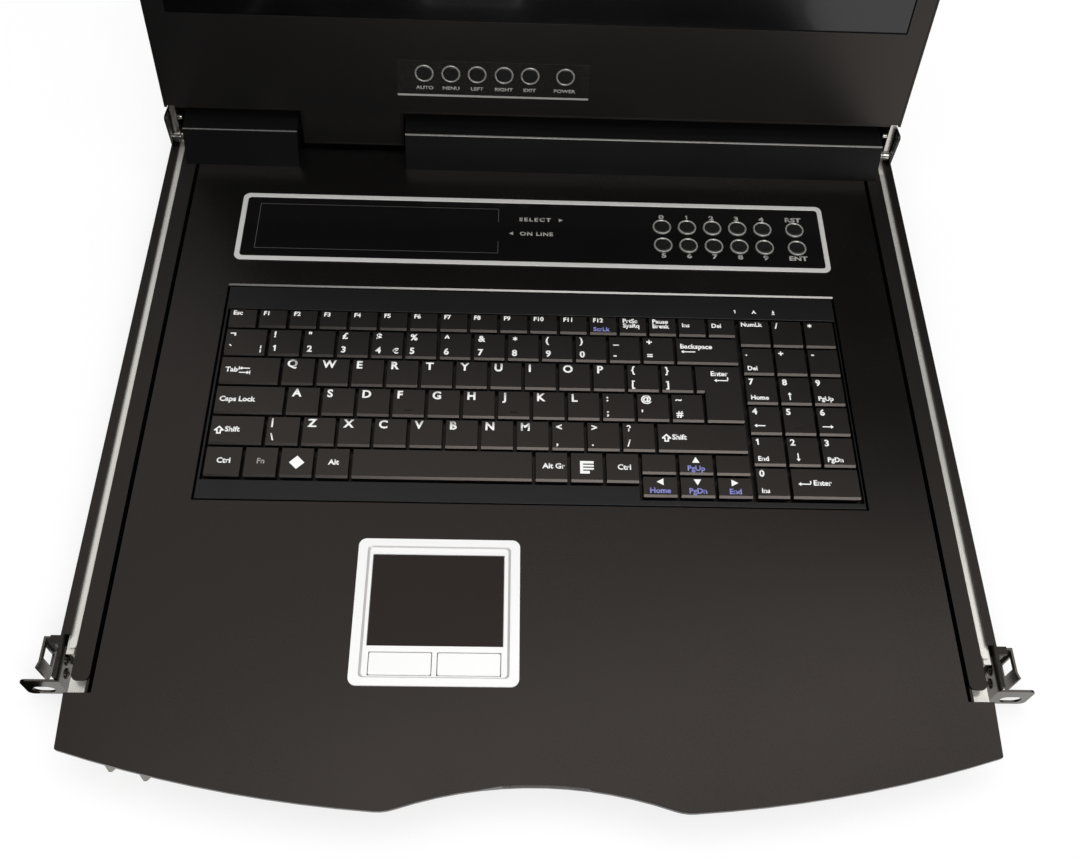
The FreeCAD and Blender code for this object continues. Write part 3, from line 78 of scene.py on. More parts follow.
def add(tree, kind, settings=None, links=None, **fields):
    """Adds a node to a tree.

    settings are the values of its sockets, links what feeds them, and fields its own settings.
    """
    node = tree.nodes.new(kind)
    for name, value in fields.items():
        setattr(node, name, value)
    for name, value in (settings or {}).items():
        node.inputs[name].default_value = value
    for name, source in (links or {}).items():
        tree.links.new(source, node.inputs[name])
    return node


def blank_material(name):
    """A new material and its empty node tree."""
    material = bpy.data.materials.new(name)
    material.use_nodes = True
    material.node_tree.nodes.clear()
    return material, material.node_tree


MOST_OF_A_NOISE = (0.3, 0.7)       # nearly all of a noise's values lie between these
COAT_ROUGHNESS = 0.06


def finish(name, dark, light, grain, roughness, metallic=0.0, stretch=(1, 1, 1), relief=0.0, cloud=60,
           coat=0.0, specular=0.5, tint="FFFFFF"):
    """A surface whose colour, gloss and relief vary with a grain of real size.

    grain is the size of its finest texture and cloud that of its slow drift, both in millimetres.
    roughness is (smoothest, roughest), stretch draws the grain out along an axis, and relief is the
    height of the grain in millimetres. tint colours the reflections seen square on.
    """
    material, tree = blank_material(name)
    place = add(tree, "ShaderNodeTexCoord").outputs["Object"]
    drawn = add(tree, "ShaderNodeMapping", {"Scale": stretch}, {"Vector": place}).outputs["Vector"]
    fine = add(tree, "ShaderNodeTexNoise", {"Scale": 1 / (grain * MM), "Detail": 3.0, "Roughness": 0.6},
               {"Vector": drawn}).outputs["Fac"]
    slow = add(tree, "ShaderNodeTexNoise", {"Scale": 1 / (cloud * MM), "Detail": 2.0},
               {"Vector": place}).outputs["Fac"]
    both = add(tree, "ShaderNodeMath", {1: 0.5}, {0: slow}, operation="MULTIPLY_ADD")
    tree.links.new(add(tree, "ShaderNodeMath", {1: 0.5}, {0: fine}, operation="MULTIPLY").outputs[0],
                   both.inputs[2])
    colour = add(tree, "ShaderNodeMix", {"A": linear(dark), "B": linear(light)},
                 {"Factor": both.outputs[0]}, data_type="RGBA")
    gloss = add(tree, "ShaderNodeMapRange",
                {"From Min": MOST_OF_A_NOISE[0], "From Max": MOST_OF_A_NOISE[1],
                 "To Min": roughness[0], "To Max": roughness[1]}, {"Value": both.outputs[0]})
    shader = add(tree, "ShaderNodeBsdfPrincipled",
                 {"Metallic": metallic, "Coat Weight": coat, "Coat Roughness": COAT_ROUGHNESS,
                  "Specular IOR Level": specular, "Specular Tint": linear(tint)},
                 {"Base Color": colour.outputs["Result"], "Roughness": gloss.outputs["Result"]})
    if relief:
        bump = add(tree, "ShaderNodeBump", {"Distance": relief * MM, "Strength": 1.0}, {"Height": fine})
        tree.links.new(bump.outputs["Normal"], shader.inputs["Normal"])
    add(tree, "ShaderNodeOutputMaterial", links={"Surface": shader.outputs["BSDF"]})
    return material


def circuit_board():
    """Green solder mask over copper: tracks show as slightly paler straight ribs."""
    material, tree = blank_material("solder_mask_over_copper")
    place = add(tree, "ShaderNodeTexCoord").outputs["Object"]
    tracks = add(tree, "ShaderNodeTexBrick",
                 {"Scale": 1.0, "Brick Width": 14 * MM, "Row Height": 1.6 * MM, "Mortar Size": 0.3 * MM,
                  "Color1": linear("0B3B1E"), "Color2": linear("0D4524"), "Mortar": linear("17643A")},
                 {"Vector": place})
    shader = add(tree, "ShaderNodeBsdfPrincipled", {"Roughness": 0.35, "Coat Weight": 0.4},
                 {"Base Color": tracks.outputs["Color"]})
    add(tree, "ShaderNodeOutputMaterial", links={"Surface": shader.outputs["BSDF"]})
    return material


finishes = {
    # Powder coat, charcoal with a little brown in its soft sheen.
    "deck_paint": finish("charcoal_powder_coat", "070707", "0D0D0D", 0.9, (0.22, 0.29), relief=0.010,
                         tint="FFEFE6"),
    # Powder coat, black, on the slides, pan and lid shell.
    "black_steel": finish("black_powder_coat", "080807", "0D0D0C", 0.8, (0.34, 0.44), relief=0.010,
                          specular=0.62, tint="FFF0E6"),
    # Satin lacquer on the lid's face: a finer skin than the powder coat's.
    "lid_paint": finish("black_satin_lacquer", "0E0E0F", "141414", 0.7, (0.27, 0.34), relief=0.004,
                        cloud=90, tint="FFF0E6"),
    # Bright zinc on rolled steel: fine lines along the rolling direction.
    "zinc_steel": finish("bright_zinc_plate", "DCD9D1", "F0EDE6", 1.2, (0.22, 0.30), 0.5, (1, 0.12, 1)),
    # Nickel plate, dark: the rack ears, the latches and their screws.
    "ear_steel": finish("dark_nickel_plate", "4E4A45", "6E6963", 1.0, (0.2, 0.32), 1.0, (0.3, 1, 1)),
    # ABS, moulded, with a fine spark-eroded skin: an even, low sheen on the key caps.
    "key_plastic": finish("black_abs_moulding", "080809", "0E0E0E", 0.5, (0.28, 0.36), relief=0.006,
                          specular=0.7, tint="FFF0E6"),
    # ABS again, with a coarser skin that keeps the frame round the keys duller.
    "frame_plastic": finish("textured_black_abs", "060606", "0B0B0B", 0.8, (0.34, 0.44), relief=0.02),
    # Silver paint on a moulding: pale, with metal flake too fine to see singly.
    "silver_plastic": finish("silver_paint", "FAFAF8", "FFFFFD", 0.6, (0.34, 0.44), 0.3, relief=0.003),
    # Polyester film with a matt hard coat, over the touch sensor: no clear reflections.
    "pad_plastic": finish("matt_polyester_film", "0E0E0E", "141313", 0.5, (0.42, 0.5), relief=0.004,
                          tint="FFE8DA"),
    # Polycarbonate film, printed black on its back: deep black under a clear gloss.
    "overlay_gloss": finish("glossy_polycarbonate_film", "0C0B0B", "100F0F", 2.0, (0.08, 0.14), cloud=40),
    # Satin chrome plate on a moulded ring: bright, with soft reflections.
    "button_chrome": finish("satin_chrome_plate", "A3A29E", "C4C3BF", 1.5, (0.2, 0.32), 0.6),
    # Anti-glare film over the dark liquid crystal panel: blurred reflections on near black.
    "screen_glass": finish("dark_display_glass", "030304", "050507", 0.3, (0.12, 0.2), coat=0.3),
    # Solder mask on glass fibre.
    "circuit_board": circuit_board(),
}
# Powder coat on the hinge covers: smoother and without the brown, so that only their edges shine.
cover_paint = finish("black_powder_coat_smooth", "0B0B0C", "111112", 0.9, (0.2, 0.28), relief=0.006)
# Painted highlight: a thin pale, part-metallic line on the chamfered front edges, standing in for the light
# that they catch.
pale_edge_highlight = finish("painted_highlight_on_edges", "6A6866", "807E7B", 0.6, (0.24, 0.34), 0.6, specular=1.0)
# Silver paint again, a little greyer: the switch panel's frame in its own colour, and painted shade on the
# sloping walls round the touch pad.
grey_silver_and_recess_shade = finish("grey_silver_paint_with_painted_recess_shade", "D3D2CF", "DBDAD7", 0.6, (0.34, 0.44), 0.3, relief=0.003)
# Polished steel on the hinges, brighter in its reflections than the slides' zinc.
polished_steel = finish("polished_steel", "CBC8BF", "EAE7DE", 1.2, (0.20, 0.3), 1.0, (1, 0.12, 1))
# Aluminium, brushed from side to side and anodised black: short pale streaks on black.
brushed_black = finish("brushed_black_anodised", "040404", "5A5855", 0.35, (0.2, 0.32), 0.85, (0.12, 1, 1))
# Moulded rubber in the round buttons: dull black.
button_dish = finish("black_rubber_dish", "0A0A0A", "181818", 0.6, (0.25, 0.4))
# Screen-printed inks: matt and even. The dim one is a varnish that hardly stands out from the film.
white_ink = finish("white_screen_ink", "F0F0EE", "FAFAF8", 0.4, (0.5, 0.6))
grey_ink = finish("grey_screen_ink", "8E8C88", "A09E9A", 0.4, (0.5, 0.6))
blue_ink = finish("blue_screen_ink", "7A7CC0", "8E90D2", 0.4, (0.5, 0.6))
dim_ink = finish("dim_screen_ink", "3C3B39", "4A4947", 0.4, (0.5, 0.6))


# ---------------------------------------------------------------- mesh helpers
WELD = 0.002 * MM                  # points closer than this are one
FLAT = math.radians(0.2)           # faces that meet at less are one face
LEVEL = 0.1 * MM                   # heights closer than this are one level
LONG_EDGE = 8 * MM                 # shorter edges of a sheet don't show their wear
FACES_UP = 0.95                    # least z of the normal of a face that lies level
FACES_USER = -0.7                  # greatest y of the normal of a face towards the user
UPRIGHT = 0.1                      # greatest z of the normal of an upright wall
SHARP = 40                         # edges that turn by more degrees are rounded
SHARP_HIGHLIGHT_CHAMFER = 50                    # the same, where the chamfers for the painted highlight already slope at 45 degrees


def placed(name, data):
    """A new object, linked to the scene."""
    thing = bpy.data.objects.new(name, data)
    scene.collection.objects.link(thing)
    return thing


def baked(holder):
    """The mesh that an object's modifiers give; the object itself goes."""
    graph = bpy.context.evaluated_depsgraph_get()
    mesh = bpy.data.meshes.new_from_object(holder.evaluated_get(graph))
    bpy.data.objects.remove(holder)
    return mesh


def mesh_of(name, shape):
    """Turns a bmesh into a mesh."""
    mesh = bpy.data.meshes.new(name)
    shape.to_mesh(mesh)
    shape.free()
    return mesh


def link(name, mesh, body, material=None, replaced=()):
    """Puts a finished mesh into the scene as a piece of a body."""
    piece = placed(name, mesh)
    if material is not None:
        mesh.materials.clear()
        mesh.materials.append(material)
    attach(piece, body)
    if replaced:
        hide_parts(*replaced)


def merged(node):
    """A copy of a CAD node as one connected mesh, its coplanar triangles joined to faces."""
    copy = bmesh.new()
    copy.from_mesh(nodes[node].data)
    bmesh.ops.remove_doubles(copy, verts=copy.verts, dist=WELD)
    bmesh.ops.dissolve_limit(copy, angle_limit=FLAT, verts=copy.verts, edges=copy.edges, delimit={"NORMAL"})
    return copy


def islands(mesh):
    """Boxes (low, high) of the connected pieces of a bmesh."""
    seen = set()
    boxes = []
    for first in mesh.verts:
        if first in seen:
            continue
        stack = [first]
        seen.add(first)
        low = first.co.copy()
        high = first.co.copy()
        while stack:
            vert = stack.pop()
            for axis in range(3):
                low[axis] = min(low[axis], vert.co[axis])
                high[axis] = max(high[axis], vert.co[axis])
            for edge in vert.link_edges:
                other = edge.other_vert(vert)
                if other not in seen:
                    seen.add(other)
                    stack.append(other)
        boxes.append((low, high))
    return boxes


def chamfer_front_edges_for_highlight(shape, width, segments):
    """Rounds the long edges where a top meets a face towards the user, and gives them the second material, a
    painted highlight.
    """
    chosen = []
    for edge in shape.edges:
        along = edge.verts[1].co - edge.verts[0].co
        long_across = abs(along.x) > LONG_EDGE and abs(along.y) < MM
        if long_across and len(edge.link_faces) == 2 and edge.is_convex:
            normals = [face.normal for face in edge.link_faces]
            if max(n.z for n in normals) > FACES_UP and min(n.y for n in normals) < FACES_USER:
                chosen.append(edge)
    bmesh.ops.bevel(shape, geom=chosen, offset=width, segments=segments, affect="EDGES", profile=0.5,
                    clamp_overlap=False, material=1)


def sloped_recess(shape, rim_shift, foot_shift):
    """Makes the upright walls of the recess in the top face slope, and gives them the second material, a
    greyer silver that paints shade on them.

    The walls' upper edges move inwards by rim_shift and their feet by foot_shift, each an (x, y) pair.
    """
    top = max(vert.co.z for vert in shape.verts)
    middle = Vector([(min(v.co[axis] for v in shape.verts) + max(v.co[axis] for v in shape.verts)) / 2
                     for axis in range(3)])
    walls = [face for face in shape.faces if abs(face.normal.z) < UPRIGHT
             and max(vert.co.z for vert in face.verts) > top - LEVEL
             and face.normal.xy.dot((middle - face.calc_center_median()).xy) > 0]
    outline = {vert for face in walls for vert in face.verts}
    half = [max(abs(vert.co[axis] - middle[axis]) for vert in outline) for axis in (0, 1)]
    for vert in outline:
        shift = foot_shift if vert.co.z < top - LEVEL else rim_shift
        for axis in (0, 1):
            vert.co[axis] -= (vert.co[axis] - middle[axis]) * shift[axis] / half[axis]
    for face in walls:
        face.material_index = 1
    shape.normal_update()


def softened(node, width, material=None, highlight_chamfer=None, flat=False, slope=None):
    """Replaces a CAD node by a copy whose sharp edges are rounded by width.

    highlight_chamfer is the width and the number of facets of the edges towards the user that carry a painted
    highlight. slope says how far the walls of a recess move; those walls get painted shade. flat leaves every
    face plane, as on pieces that have no curved ones.
    """
    slot = slot_of_node[node]
    source = merged(node)
    source.normal_update()
    if highlight_chamfer:
        chamfer_front_edges_for_highlight(source, *highlight_chamfer)
    if slope:
        sloped_recess(source, *slope)
    mesh = mesh_of(node + "_soft", source)
    mesh.materials.append(material or finishes[slot])
    if highlight_chamfer or slope:
        # A greyer second material on the sloping recess walls paints shade on them.
        # A pale second material on the front chamfers paints a highlight along them.
        mesh.materials.append(pale_edge_highlight if highlight_chamfer else grey_silver_and_recess_shade)
    holder = placed("holder", mesh)
    bevel = holder.modifiers.new("edges", "BEVEL")
    bevel.width = width * MM
    bevel.segments = 1 if flat else 2
    bevel.limit_method = "ANGLE"
    bevel.angle_limit = math.radians(SHARP_HIGHLIGHT_CHAMFER if highlight_chamfer else SHARP)
    bevel.use_clamp_overlap = True
    plane_second = bool(slope or (highlight_chamfer and highlight_chamfer[1] == 1))
    for face in mesh.polygons:
        face.use_smooth = not flat and not (plane_second and face.material_index == 1)
    if not flat:
        even = holder.modifiers.new("flat_faces", "WEIGHTED_NORMAL")
        even.mode = "FACE_AREA"
        even.weight = 100
        even.keep_sharp = plane_second
    link(node + "_soft", baked(holder), body_of_node[node], None, [node])


# ---------------------------------------------------------------- sheet metal and mouldings
for part in frame["record"]["subparts"]:
    shown = nodes[part["node"]].data
    shown.materials.clear()
    shown.materials.append(finishes[part["material_slot"]])

# Widths of the rounded edges, in millimetres.
EDGE_WIDTHS = {
    "cover_plate": 0.7, "tray": 0.45, "hinge_cover_left": 0.8, "hinge_cover_right": 0.8,
    "lid_back": 0.8, "lid_bezel": 0.4, "outer_rail_left": 0.25, "outer_rail_right": 0.25,
    "mid_rail_left": 0.2, "mid_rail_right": 0.2, "inner_rail_left": 0.2, "inner_rail_right": 0.2,
    "rack_ear_left": 0.2, "rack_ear_right": 0.2, "release_latch_left": 0.25, "release_latch_right": 0.25,
    "keyboard_frame": 0.35, "touch_bezel": 0.3, "touch_pad": 0.15, "touch_button_left": 0.4,
    "touch_button_right": 0.4, "panel_frame": 0.25, "hinge_arms": 0.3, "hinge_pins": 0.4,
    "hinge_brackets": 0.3, "rear_brackets": 0.2, "port_sockets": 0.12, "lcd_panel": 0.2,
    "menu_plate": 0.12,
}
CAP_EDGE = 0.4
CAP_NODES = ("function_keys", "typing_keys", "space_bar", "cursor_keys", "number_pad_keys")
# Pieces whose finish differs from their slot's.
OWN_FINISH = {
    "hinge_cover_left": cover_paint, "hinge_cover_right": cover_paint, "menu_plate": brushed_black,
    "panel_frame": grey_silver_and_recess_shade, "hinge_arms": polished_steel, "hinge_pins": polished_steel,
    "hinge_brackets": polished_steel,
}
# Width and facets of the chamfers that carry the painted highlight: the cover plate's is a plain chamfer, the
# hinge covers' are round.
HIGHLIGHT_CHAMFERS = {
    "cover_plate": (0.8 * MM, 1), "hinge_cover_left": (0.45 * MM, 4), "hinge_cover_right": (0.7 * MM, 4),
}
# The touch bezel's recess walls slope and take a greyer silver as painted shade.
SLOPES = {"touch_bezel": ((0.6 * MM, 0), (1.8 * MM, 0.65 * MM))}
for node, width in EDGE_WIDTHS.items():
    softened(node, width, OWN_FINISH.get(node), HIGHLIGHT_CHAMFERS.get(node), slope=SLOPES.get(node))
for node in CAP_NODES:
    softened(node, CAP_EDGE, flat=True)


# ---------------------------------------------------------------- lettering
INK_HEIGHT = 0.03 * MM
BOLD = 0.036                       # added to each side of a stroke, in the font's own units
CURVE_STEPS = 3
INK_WELD = 0.001 * MM
ROW_STEP = 4 * MM                  # rear edges of one row of caps differ by less
glyph_cache = {}


def words_mesh(text, bold, spacing=1.0):
    """Letters as a flat mesh in the font's own units; bold thickens their strokes."""
    if (text, bold, spacing) not in glyph_cache:
        curve = bpy.data.curves.new("words", "FONT")
        curve.body = text
        curve.resolution_u = CURVE_STEPS
        curve.offset = bold
        curve.space_character = spacing
        glyph_cache[text, bold, spacing] = baked(placed("words", curve))
    return glyph_cache[text, bold, spacing]


def spread(mesh):
    """Lowest and highest x and y of a flat mesh."""
    xs = [v.co.x for v in mesh.vertices]
    ys = [v.co.y for v in mesh.vertices]
    return min(xs), max(xs), min(ys), max(ys)


CAPITAL = spread(words_mesh("H", 0.0))[3]      # height of a capital in the font's own units


def hook(centre, outer, inner, start, end, steps=9):
    """Outline of a part of a ring, its angles in degrees."""
    angles = [math.radians(start + (end - start) * k / steps) for k in range(steps + 1)]
    there = [(centre[0] + outer * math.cos(a), centre[1] + outer * math.sin(a)) for a in angles]
    back = [(centre[0] + inner * math.cos(a), centre[1] + inner * math.sin(a)) for a in reversed(angles)]
    return tuple(there + back)


# Marks drawn here, because the font's own are too slight: outlines in units of a capital's height.
STAR_CORNERS = 12
STAR_ANGLES = [2 * math.pi * k / STAR_CORNERS for k in range(STAR_CORNERS)]
STAR_RADII = (0.45, 0.18)          # of its points and of the notches between them
STAR_CENTRE = (0.45, 0.6)
DRAWN = {
    "1": [((0.24, 0), (0.46, 0), (0.46, 1), (0.28, 1), (0.02, 0.78), (0.12, 0.62), (0.24, 0.7))],
    "*": [tuple((STAR_CENTRE[0] + STAR_RADII[k % 2] * math.sin(a),
                 STAR_CENTRE[1] + STAR_RADII[k % 2] * math.cos(a)) for k, a in enumerate(STAR_ANGLES))],
    "?": [hook((0.3, 0.7), 0.3, 0.12, 170, -60), ((0.22, 0.24), (0.4, 0.24), (0.4, 0.43), (0.22, 0.43)),
          ((0.22, 0), (0.4, 0), (0.4, 0.17), (0.22, 0.17))],
}
DRAWN_SHIFT = {"left": 0.0, "centre": -0.25, "right": -0.5}     # these marks are about half as wide as tall


class Print:
    """Lettering in one ink on one body, gathered into a single raised mesh."""

    def __init__(self, name, body, ink, slot, frame_of=Matrix.Identity(4)):
        self.name = name
        self.body = body
        self.ink = ink
        self.slot = slot
        self.frame_of = frame_of
        self.mesh = bmesh.new()

    def face_mesh(self, flat, matrix):
        """Adds a flat mesh, moved by matrix in the print's own frame."""
        start = len(self.mesh.verts)
        self.mesh.from_mesh(flat)
        self.mesh.verts.ensure_lookup_table()
        verts = self.mesh.verts[start:]
        bmesh.ops.transform(self.mesh, matrix=self.frame_of @ matrix, verts=verts)

    def words(self, text, x, y, z, height, align="left", bold=BOLD, squeeze=1.0, spacing=1.0):
        """Text whose capitals are height tall, its baseline at y; squeeze stretches its width."""
        if text in DRAWN:
            for outline in DRAWN[text]:
                self.shape(outline, x + DRAWN_SHIFT[align] * height, y, z, height)
            return
        flat = words_mesh(text, bold, spacing)
        x0, x1, _, _ = spread(flat)
        scale = height / CAPITAL
        shift = {"left": -x0, "centre": -(x0 + x1) / 2, "right": -x1}[align]
        matrix = (Matrix.Translation((x, y, z)) @ Matrix.Diagonal((scale * squeeze, scale, 1, 1))
                  @ Matrix.Translation((shift, 0, 0)))
        self.face_mesh(flat, matrix)

    def shape(self, points, x, y, z, size):
        """A filled outline of (x, y) points drawn in units of size."""
        flat = bpy.data.meshes.new("shape")
        flat.from_pydata([(px, py, 0) for px, py in points], [], [range(len(points))])
        self.face_mesh(flat, Matrix.Translation((x, y, z)) @ Matrix.Diagonal((size, size, 1, 1)))

    def done(self):
        """Raises the gathered faces by INK_HEIGHT into closed solids and links them as one piece."""
        mesh = self.mesh
        bmesh.ops.remove_doubles(mesh, verts=mesh.verts, dist=INK_WELD)
        bmesh.ops.recalc_face_normals(mesh, faces=mesh.faces)
        up = self.frame_of.to_3x3() @ Vector((0, 0, 1))
        flipped = [face for face in mesh.faces if face.normal.dot(up) < 0]
        bmesh.ops.reverse_faces(mesh, faces=flipped)
        top = bmesh.ops.extrude_face_region(mesh, geom=mesh.faces[:], use_keep_orig=True)
        raised = [item for item in top["geom"] if isinstance(item, bmesh.types.BMVert)]
        bmesh.ops.translate(mesh, vec=up * INK_HEIGHT, verts=raised)
        bmesh.ops.recalc_face_normals(mesh, faces=mesh.faces)
        link(self.name, mesh_of(self.name, mesh), self.body, self.ink)


def boxes_of(node):
    """Boxes (low, high) of the separate solids of a CAD node."""
    shape = merged(node)
    boxes = islands(shape)
    shape.free()
    return boxes


def rows_of(node, counts):
    """Boxes of a key group's caps in rows of the given counts, from the rear, each row from the left."""
    caps = sorted(boxes_of(node), key=lambda box: (-round(box[1].y / ROW_STEP), box[0].x))
    rows = []
    for count in counts:
        rows.append(sorted(caps[:count], key=lambda box: box[0].x))
        caps = caps[count:]
    return rows


# Legends of the caps, row by row.
FUNCTION_LABELS = ("Esc", "F1", "F2", "F3", "F4", "F5", "F6", "F7", "F8", "F9", "F10", "F11", "F12",
                   "PrtSc SysRq", "Pause Break", "Ins", "Del")
NUMBER_MARKS = ("` \u00ac \u00a6", "1 !", "2 \"", "3 \u00a3", "4 $ \u20ac", "5 %", "6 ^", "7 &", "8 *", "9 (",
                "0 )", "- _", "= +")
TAB_LETTERS = "QWERTYUIOP"
CAPS_LETTERS = "ASDFGHJKL"
SHIFT_LETTERS = "ZXCVBNM"
PAD_MARKS = (("NumLk", "/", "*"), (".|Del", "+", "-"), ("7|Home", "8|^", "9|PgUp"), ("4|<", "5", "6|>"),
             ("1|End", "2|v", "3|PgDn"), ("0|Ins", "Enter"))
QUARTERS = {"^": 3, "<": 0, "v": 1, ">": 2}    # quarter turns of an arrow that points left
# Heights of the capitals in them.
LETTER = 4.6 * MM
MARK = 3.9 * MM
SIDE_MARK = MARK * 0.85
PAD_DIGIT = 3.7 * MM
WORD = 3.0 * MM
LABEL = 2.7 * MM
# Margins on the caps.
LEFT = 2.2 * MM
REAR = 1.2 * MM
FRONT = 3.0 * MM
WORD_DROP = 0.3                    # from the middle of a cap to a word's baseline, in heights
LABEL_LEFT = 2.0 * MM
LABEL_LINE = 3.3                   # from line to line of a label, in millimetres

# Arrows: half the head's height, half the shaft's width and the foot of an upright at the tail.
ARROW_HEAD = 1.15
ARROW_SHAFT = 0.32
UPRIGHT_FOOT = 0.33
STOP_HALF = 0.25 * MM              # the stops at the points of the tab arrows
STOP_REACH = 1.2 * MM
SHIFT_ARROW = 5 * MM
SHIFT_ARROW_HALF = ((0, 0.5), (-0.5, 0), (-0.5, -0.12), (-0.25, -0.12), (-0.25, -0.5), (0, -0.5), (0, -0.34),
                    (-0.1, -0.34), (-0.1, 0.02), (-0.24, 0.02), (0, 0.27))
DOWN_HEAD = ((-0.5, 0.45), (0.5, 0.45), (0, -0.45))
UP_HEAD = ((-0.5, -0.45), (0.5, -0.45), (0, 0.45))
LEFT_HEAD = ((0.45, -0.5), (0.45, 0.5), (-0.45, 0))
RIGHT_HEAD = ((-0.45, -0.5), (0.45, 0), (-0.45, 0.5))
DIAMOND = ((-0.5, 0), (0, -0.5), (0.5, 0), (0, 0.5))
DIAMOND_SIZE = 8 * MM
SHEET_HALF = (3.6 * MM, 3.8 * MM)
# The menu sheet's strokes, x0, x1, y0 and y1 as shares of its width and height.
SHEET_STROKES = ((0, 1, 0.8, 1), (0, 0.22, 0, 0.8), (0.22, 1, 0.56, 0.7), (0.22, 1, 0.32, 0.46),
                 (0.22, 0.7, 0, 0.22))


def arrow(length, head, shaft):
    """Outline of an arrow to the left, length long: head is its half height, shaft its half width."""
    neck = -length / 2 + head * 1.3
    return ((-length / 2, 0), (neck, -head), (neck, -shaft), (length / 2, -shaft), (length / 2, shaft),
            (neck, shaft), (neck, head))


def turned(points, quarter):
    """An outline turned anticlockwise by a number of quarter turns."""
    for _ in range(quarter % 4):
        points = tuple((-y, x) for x, y in points)
    return points


def bar(ink, x0, x1, y0, y1, z):
    """A filled rectangle."""
    ink.shape(((x0, y0), (x1, y0), (x1, y1), (x0, y1)), 0, 0, z, 1)


def pair(ink, cap, lower, upper, side=""):
    """Two marks on the left of a cap, one above the other, and a third at the lower right."""
    low, high = cap
    ink.words(lower, low.x + LEFT, low.y + FRONT, high.z, MARK)
    ink.words(upper, low.x + LEFT, high.y - REAR - MARK, high.z, MARK)
    if side:
        ink.words(side, high.x - LEFT, low.y + FRONT, high.z, SIDE_MARK, "right")


def letter(ink, cap, text):
    """A letter in the far left corner of a cap."""
    low, high = cap
    ink.words(text, low.x + LEFT, high.y - REAR - LETTER, high.z, LETTER)


def word(ink, cap, text, x=2.6, rise=0.0, height=WORD):
    """A word half way up the cap, x millimetres from its left edge and rise above the middle."""
    low, high = cap
    ink.words(text, low.x + x * MM, (low.y + high.y) / 2 + rise * MM - height * WORD_DROP, high.z, height)


def long_arrow(ink, cap, length, x, rise, quarter=0, stop=0):
    """Arrow with its middle x from the cap's left edge and rise above the cap's middle, in millimetres.

    quarter turns it from pointing left, and stop is the height of an upright at its tail.
    """
    low, high = cap
    middle = (low.y + high.y) / 2 + rise * MM
    ink.shape(turned(arrow(length, ARROW_HEAD, ARROW_SHAFT), quarter), low.x + x * MM, middle, high.z, MM)
    if stop:
        tail = low.x + (x + length / 2) * MM
        half = ARROW_SHAFT * MM
        bar(ink, tail - half, tail + half, middle + UPRIGHT_FOOT * MM, middle + stop * MM, high.z)


def shift_arrow(ink, cap, x):
    """Hollow arrow, pointing away from the user, its middle x millimetres from the cap's left edge."""
    low, high = cap
    for side in (1, -1):
        ink.shape([(px * side, py) for px, py in SHIFT_ARROW_HALF], low.x + x * MM, (low.y + high.y) / 2,
                  high.z, SHIFT_ARROW)


def each_pair(ink, caps, marks):
    for cap, text in zip(caps, marks):
        pair(ink, cap, *text.split(" "))


def each_letter(ink, caps, letters):
    for cap, text in zip(caps, letters):
        letter(ink, cap, text)


# typing keys
ink = Print("typing_legends", "typing_keys", white_ink, "key_plastic")
number, tab, capital, shift, bottom = rows_of("typing_keys", (14, 14, 13, 13, 7))
each_pair(ink, number, NUMBER_MARKS)
word(ink, number[13], "Backspace", 2.3, 2.6)
long_arrow(ink, number[13], 8.0, 6.6, -0.6)
word(ink, tab[0], "Tab", 2.6)
TAB_ARROWS = 13.0                  # their middle, from the cap's left edge
for rise, quarter, end in ((1.4, 0, -3.0), (-1.4, 2, 3.0)):
    long_arrow(ink, tab[0], 5.6, TAB_ARROWS, rise, quarter)
    low, high = tab[0]
    edge = low.x + (TAB_ARROWS + end) * MM
    middle = (low.y + high.y) / 2 + rise * MM
    bar(ink, edge - STOP_HALF, edge + STOP_HALF, middle - STOP_REACH, middle + STOP_REACH, high.z)
each_letter(ink, tab[1:], TAB_LETTERS)
each_pair(ink, tab[11:13], ("[ {", "] }"))
word(ink, tab[13], "Enter", 8.6, 13.0)
long_arrow(ink, tab[13], 7.6, 14.0, 9.0, stop=2.2)
word(ink, capital[0], "Caps Lock", 2.2)
each_letter(ink, capital[1:], CAPS_LETTERS)
each_pair(ink, capital[10:13], ("; :", "' @", "# ~"))
for cap in (shift[0], shift[-1]):
    shift_arrow(ink, cap, 4.6)
    word(ink, cap, "Shift", 7.6)
pair(ink, shift[1], "\\", "|")
each_letter(ink, shift[2:], SHIFT_LETTERS)
each_pair(ink, shift[9:12], (", <", ". >", "/ ?"))
word(ink, bottom[0], "Ctrl", 6.0)
low, high = bottom[2]
ink.shape(DIAMOND, (low.x + high.x) / 2, (low.y + high.y) / 2, high.z, DIAMOND_SIZE)
word(ink, bottom[3], "Alt", 6.0)
word(ink, bottom[4], "Alt Gr", 3.6)
low, high = bottom[5]
sheet = ((low.x + high.x) / 2 - SHEET_HALF[0], (low.x + high.x) / 2 + SHEET_HALF[0],
         (low.y + high.y) / 2 - SHEET_HALF[1], (low.y + high.y) / 2 + SHEET_HALF[1])
for x0, x1, y0, y1 in SHEET_STROKES:
    bar(ink, sheet[0] + x0 * (sheet[1] - sheet[0]), sheet[0] + x1 * (sheet[1] - sheet[0]),
        sheet[2] + y0 * (sheet[3] - sheet[2]), sheet[2] + y1 * (sheet[3] - sheet[2]), high.z)
word(ink, bottom[6], "Ctrl", 6.0)
ink.done()
fn = Print("fn_legend", "typing_keys", grey_ink, "key_plastic")
word(fn, bottom[1], "Fn", 6.4)
fn.done()

# function row
ink = Print("function_legends", "function_keys", white_ink, "key_plastic")
blue = Print("function_second_legends", "function_keys", blue_ink, "key_plastic")
row = rows_of("function_keys", (17,))[0]
for cap, text in zip(row, FUNCTION_LABELS):
    low, high = cap
    drop = 3.0 if text in ("Ins", "Del") else 0.9      # from the cap's rear edge, in millimetres
    for line, part in enumerate(text.split(" ")):
        ink.words(part, low.x + LABEL_LEFT, high.y - (drop + LABEL_LINE * line) * MM - LABEL, high.z, LABEL)
low, high = row[12]
blue.words("ScrLk", low.x + LABEL_LEFT, low.y + 2.2 * MM, high.z, LABEL)
ink.done()
blue.done()

